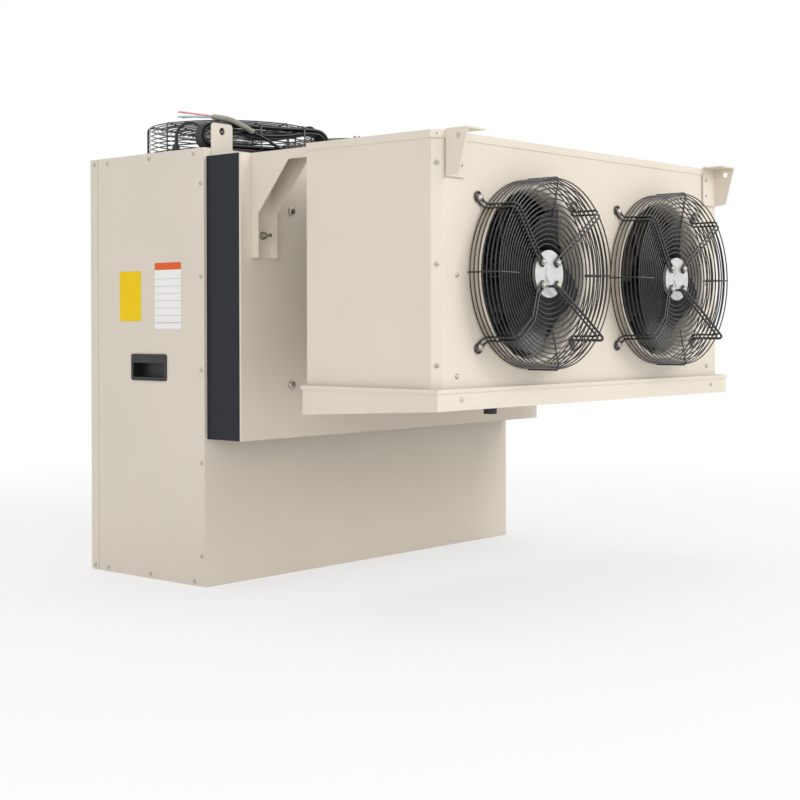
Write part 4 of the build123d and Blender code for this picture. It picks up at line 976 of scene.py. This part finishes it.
white, orange, greyLine = paintColour(252, 252, 252), paintColour(235, 104, 46), paintColour(176, 174, 170)
ruled = []
for row in range(stickerLook["rows"]):
    z = stickerLook["firstRow"] + row * stickerLook["rowPitch"]
    ruled += [(z, greyLine), (z + stickerLook["lineWidth"], white)]
ruled.append((stickerLook["headerFoot"], orange))
yellow = paintColour(255, 214, 0)
stickers = {
    "yellowSticker": ((0.0160, 0.6050), (0.0795, 0.1182), stickerFilm("yellowFilm", yellow)),
    "whiteSticker": ((-0.1282, 0.5866), (0.0934, 0.1540), stickerFilm("whiteFilm", white, ruled)),
}
for stickerName, (corner, size, film) in stickers.items():
    mesh = roundedPlate(stickerName, corner, size)
    mesh.materials.append(film)
    newPiece(stickerName, mesh, None)
print("stickers placed")

# floor, light and camera

floorLook = {
    "half": 40, "colour": (0.80, 0.795, 0.785, 1), "roughness": 0.6,
    "glow": (0.62, 1.0), "glowReach": (0.9, 2.8),
}
floorMesh = bpy.data.meshes.new("floor")
half = floorLook["half"]
outline = [(-half, -half, 0), (half, -half, 0), (half, half, 0), (-half, half, 0)]
floorMesh.from_pydata(outline, [], [(0, 1, 2, 3)])
floor = addObject("floor", floorMesh)
floor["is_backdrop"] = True


def paleFloor():
    # a pale floor that grows white with distance, as seen by the camera
    colour = floorLook["colour"]
    material, tree, shader, coords = startFinish("paleFloor", colour, floorLook["roughness"], specular=0.2)
    mottle(tree, shader, coords, colour, 0.8, 0.01)
    rays, glow = tree.nodes.new("ShaderNodeLightPath"), tree.nodes.new("ShaderNodeEmission")
    glow.inputs["Color"].default_value = (1, 1, 1, 1)
    seen, share = tree.nodes.new("ShaderNodeMath"), tree.nodes.new("ShaderNodeMath")
    seen.operation, share.operation = "MAXIMUM", "MULTIPLY"
    reach = tree.nodes.new("ShaderNodeVectorMath")
    reach.operation = "LENGTH"
    tree.links.new(coords, reach.inputs[0])
    brightness = addRange(tree, reach.outputs["Value"], *floorLook["glow"], *floorLook["glowReach"])
    tree.links.new(brightness, share.inputs[1])
    blend = tree.nodes.new("ShaderNodeMixShader")
    tree.links.new(rays.outputs["Is Camera Ray"], seen.inputs[0])
    tree.links.new(rays.outputs["Is Glossy Ray"], seen.inputs[1])
    tree.links.new(seen.outputs[0], share.inputs[0])
    tree.links.new(share.outputs[0], blend.inputs["Fac"])
    tree.links.new(shader.outputs[0], blend.inputs[1])
    tree.links.new(glow.outputs[0], blend.inputs[2])
    tree.links.new(blend.outputs[0], tree.nodes["Material Output"].inputs["Surface"])
    return material


floorMesh.materials.append(paleFloor())

world = bpy.data.worlds.new("studio")
bpy.context.scene.world = world
world.use_nodes = True
sky = world.node_tree
ambient = sky.nodes["Background"]
ambient.inputs["Color"].default_value = (1.0, 0.98, 0.96, 1)
ambient.inputs["Strength"].default_value = 0.66
backdrop, rays = sky.nodes.new("ShaderNodeBackground"), sky.nodes.new("ShaderNodeLightPath")
backdrop.inputs["Color"].default_value = (1, 1, 1, 1)
backdrop.inputs["Strength"].default_value = 1.0
seenFirst, seen = sky.nodes.new("ShaderNodeMath"), sky.nodes.new("ShaderNodeMath")
seenFirst.operation = seen.operation = "MAXIMUM"
blend = sky.nodes.new("ShaderNodeMixShader")
sky.links.new(rays.outputs["Is Camera Ray"], seenFirst.inputs[0])
sky.links.new(rays.outputs["Is Glossy Ray"], seenFirst.inputs[1])
sky.links.new(seenFirst.outputs[0], seen.inputs[0])
sky.links.new(rays.outputs["Is Transmission Ray"], seen.inputs[1])
sky.links.new(seen.outputs[0], blend.inputs["Fac"])
sky.links.new(ambient.outputs[0], blend.inputs[1])
sky.links.new(backdrop.outputs[0], blend.inputs[2])
sky.links.new(blend.outputs[0], sky.nodes["World Output"].inputs["Surface"])


def softLamp(name, place, target, size, power, colour):
    data = bpy.data.lights.new(name, "AREA")
    data.shape = "DISK"
    data.size = size
    data.energy = power
    data.color = colour
    lamp = addObject(name, data)
    lamp.location = place
    lamp.rotation_euler = (Vector(target) - Vector(place)).to_track_quat("-Z", "Y").to_euler()


lampTarget = (0.0, -0.3, 0.6)
lamps = {
    "keyLamp": {"place": (0.9, -5.2, 3.0), "size": 2.6, "power": 92, "colour": (1.0, 0.985, 0.955)},
    "sideLamp": {"place": (-4.4, -3.2, 1.9), "size": 3.0, "power": 40, "colour": (1.0, 0.985, 0.99)},
    "topLamp": {"place": (0.3, 0.4, 4.8), "size": 3.2, "power": 58, "colour": (1.0, 1.0, 1.0)},
}
for lampName, lamp in lamps.items():
    softLamp(lampName, lamp["place"], lampTarget, lamp["size"], lamp["power"], lamp["colour"])

cameraLook = {
    "place": (-2.8199, -2.8043, 0.5961), "yaw": 0.8616, "pitch": 0.0086, "roll": -0.0021,
    "lens": 67.688, "shiftX": -0.0301, "shiftY": -0.0784,
}
cameraData = bpy.data.cameras.new("photoCamera")
cameraData.sensor_width = 36
cameraData.lens = cameraLook["lens"]
cameraData.shift_x = cameraLook["shiftX"]
cameraData.shift_y = cameraLook["shiftY"]
camera = addObject("photoCamera", cameraData)
camera.location = cameraLook["place"]
aim = Matrix.Rotation(-cameraLook["yaw"], 3, "Z")
aim = aim @ Matrix.Rotation(math.pi / 2 - cameraLook["pitch"], 3, "X")
camera.rotation_euler = (aim @ Matrix.Rotation(cameraLook["roll"], 3, "Z")).to_euler()
bpy.context.scene.camera = camera
bpy.context.scene.view_settings.view_transform = "Standard"
print("stage set")

low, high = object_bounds()
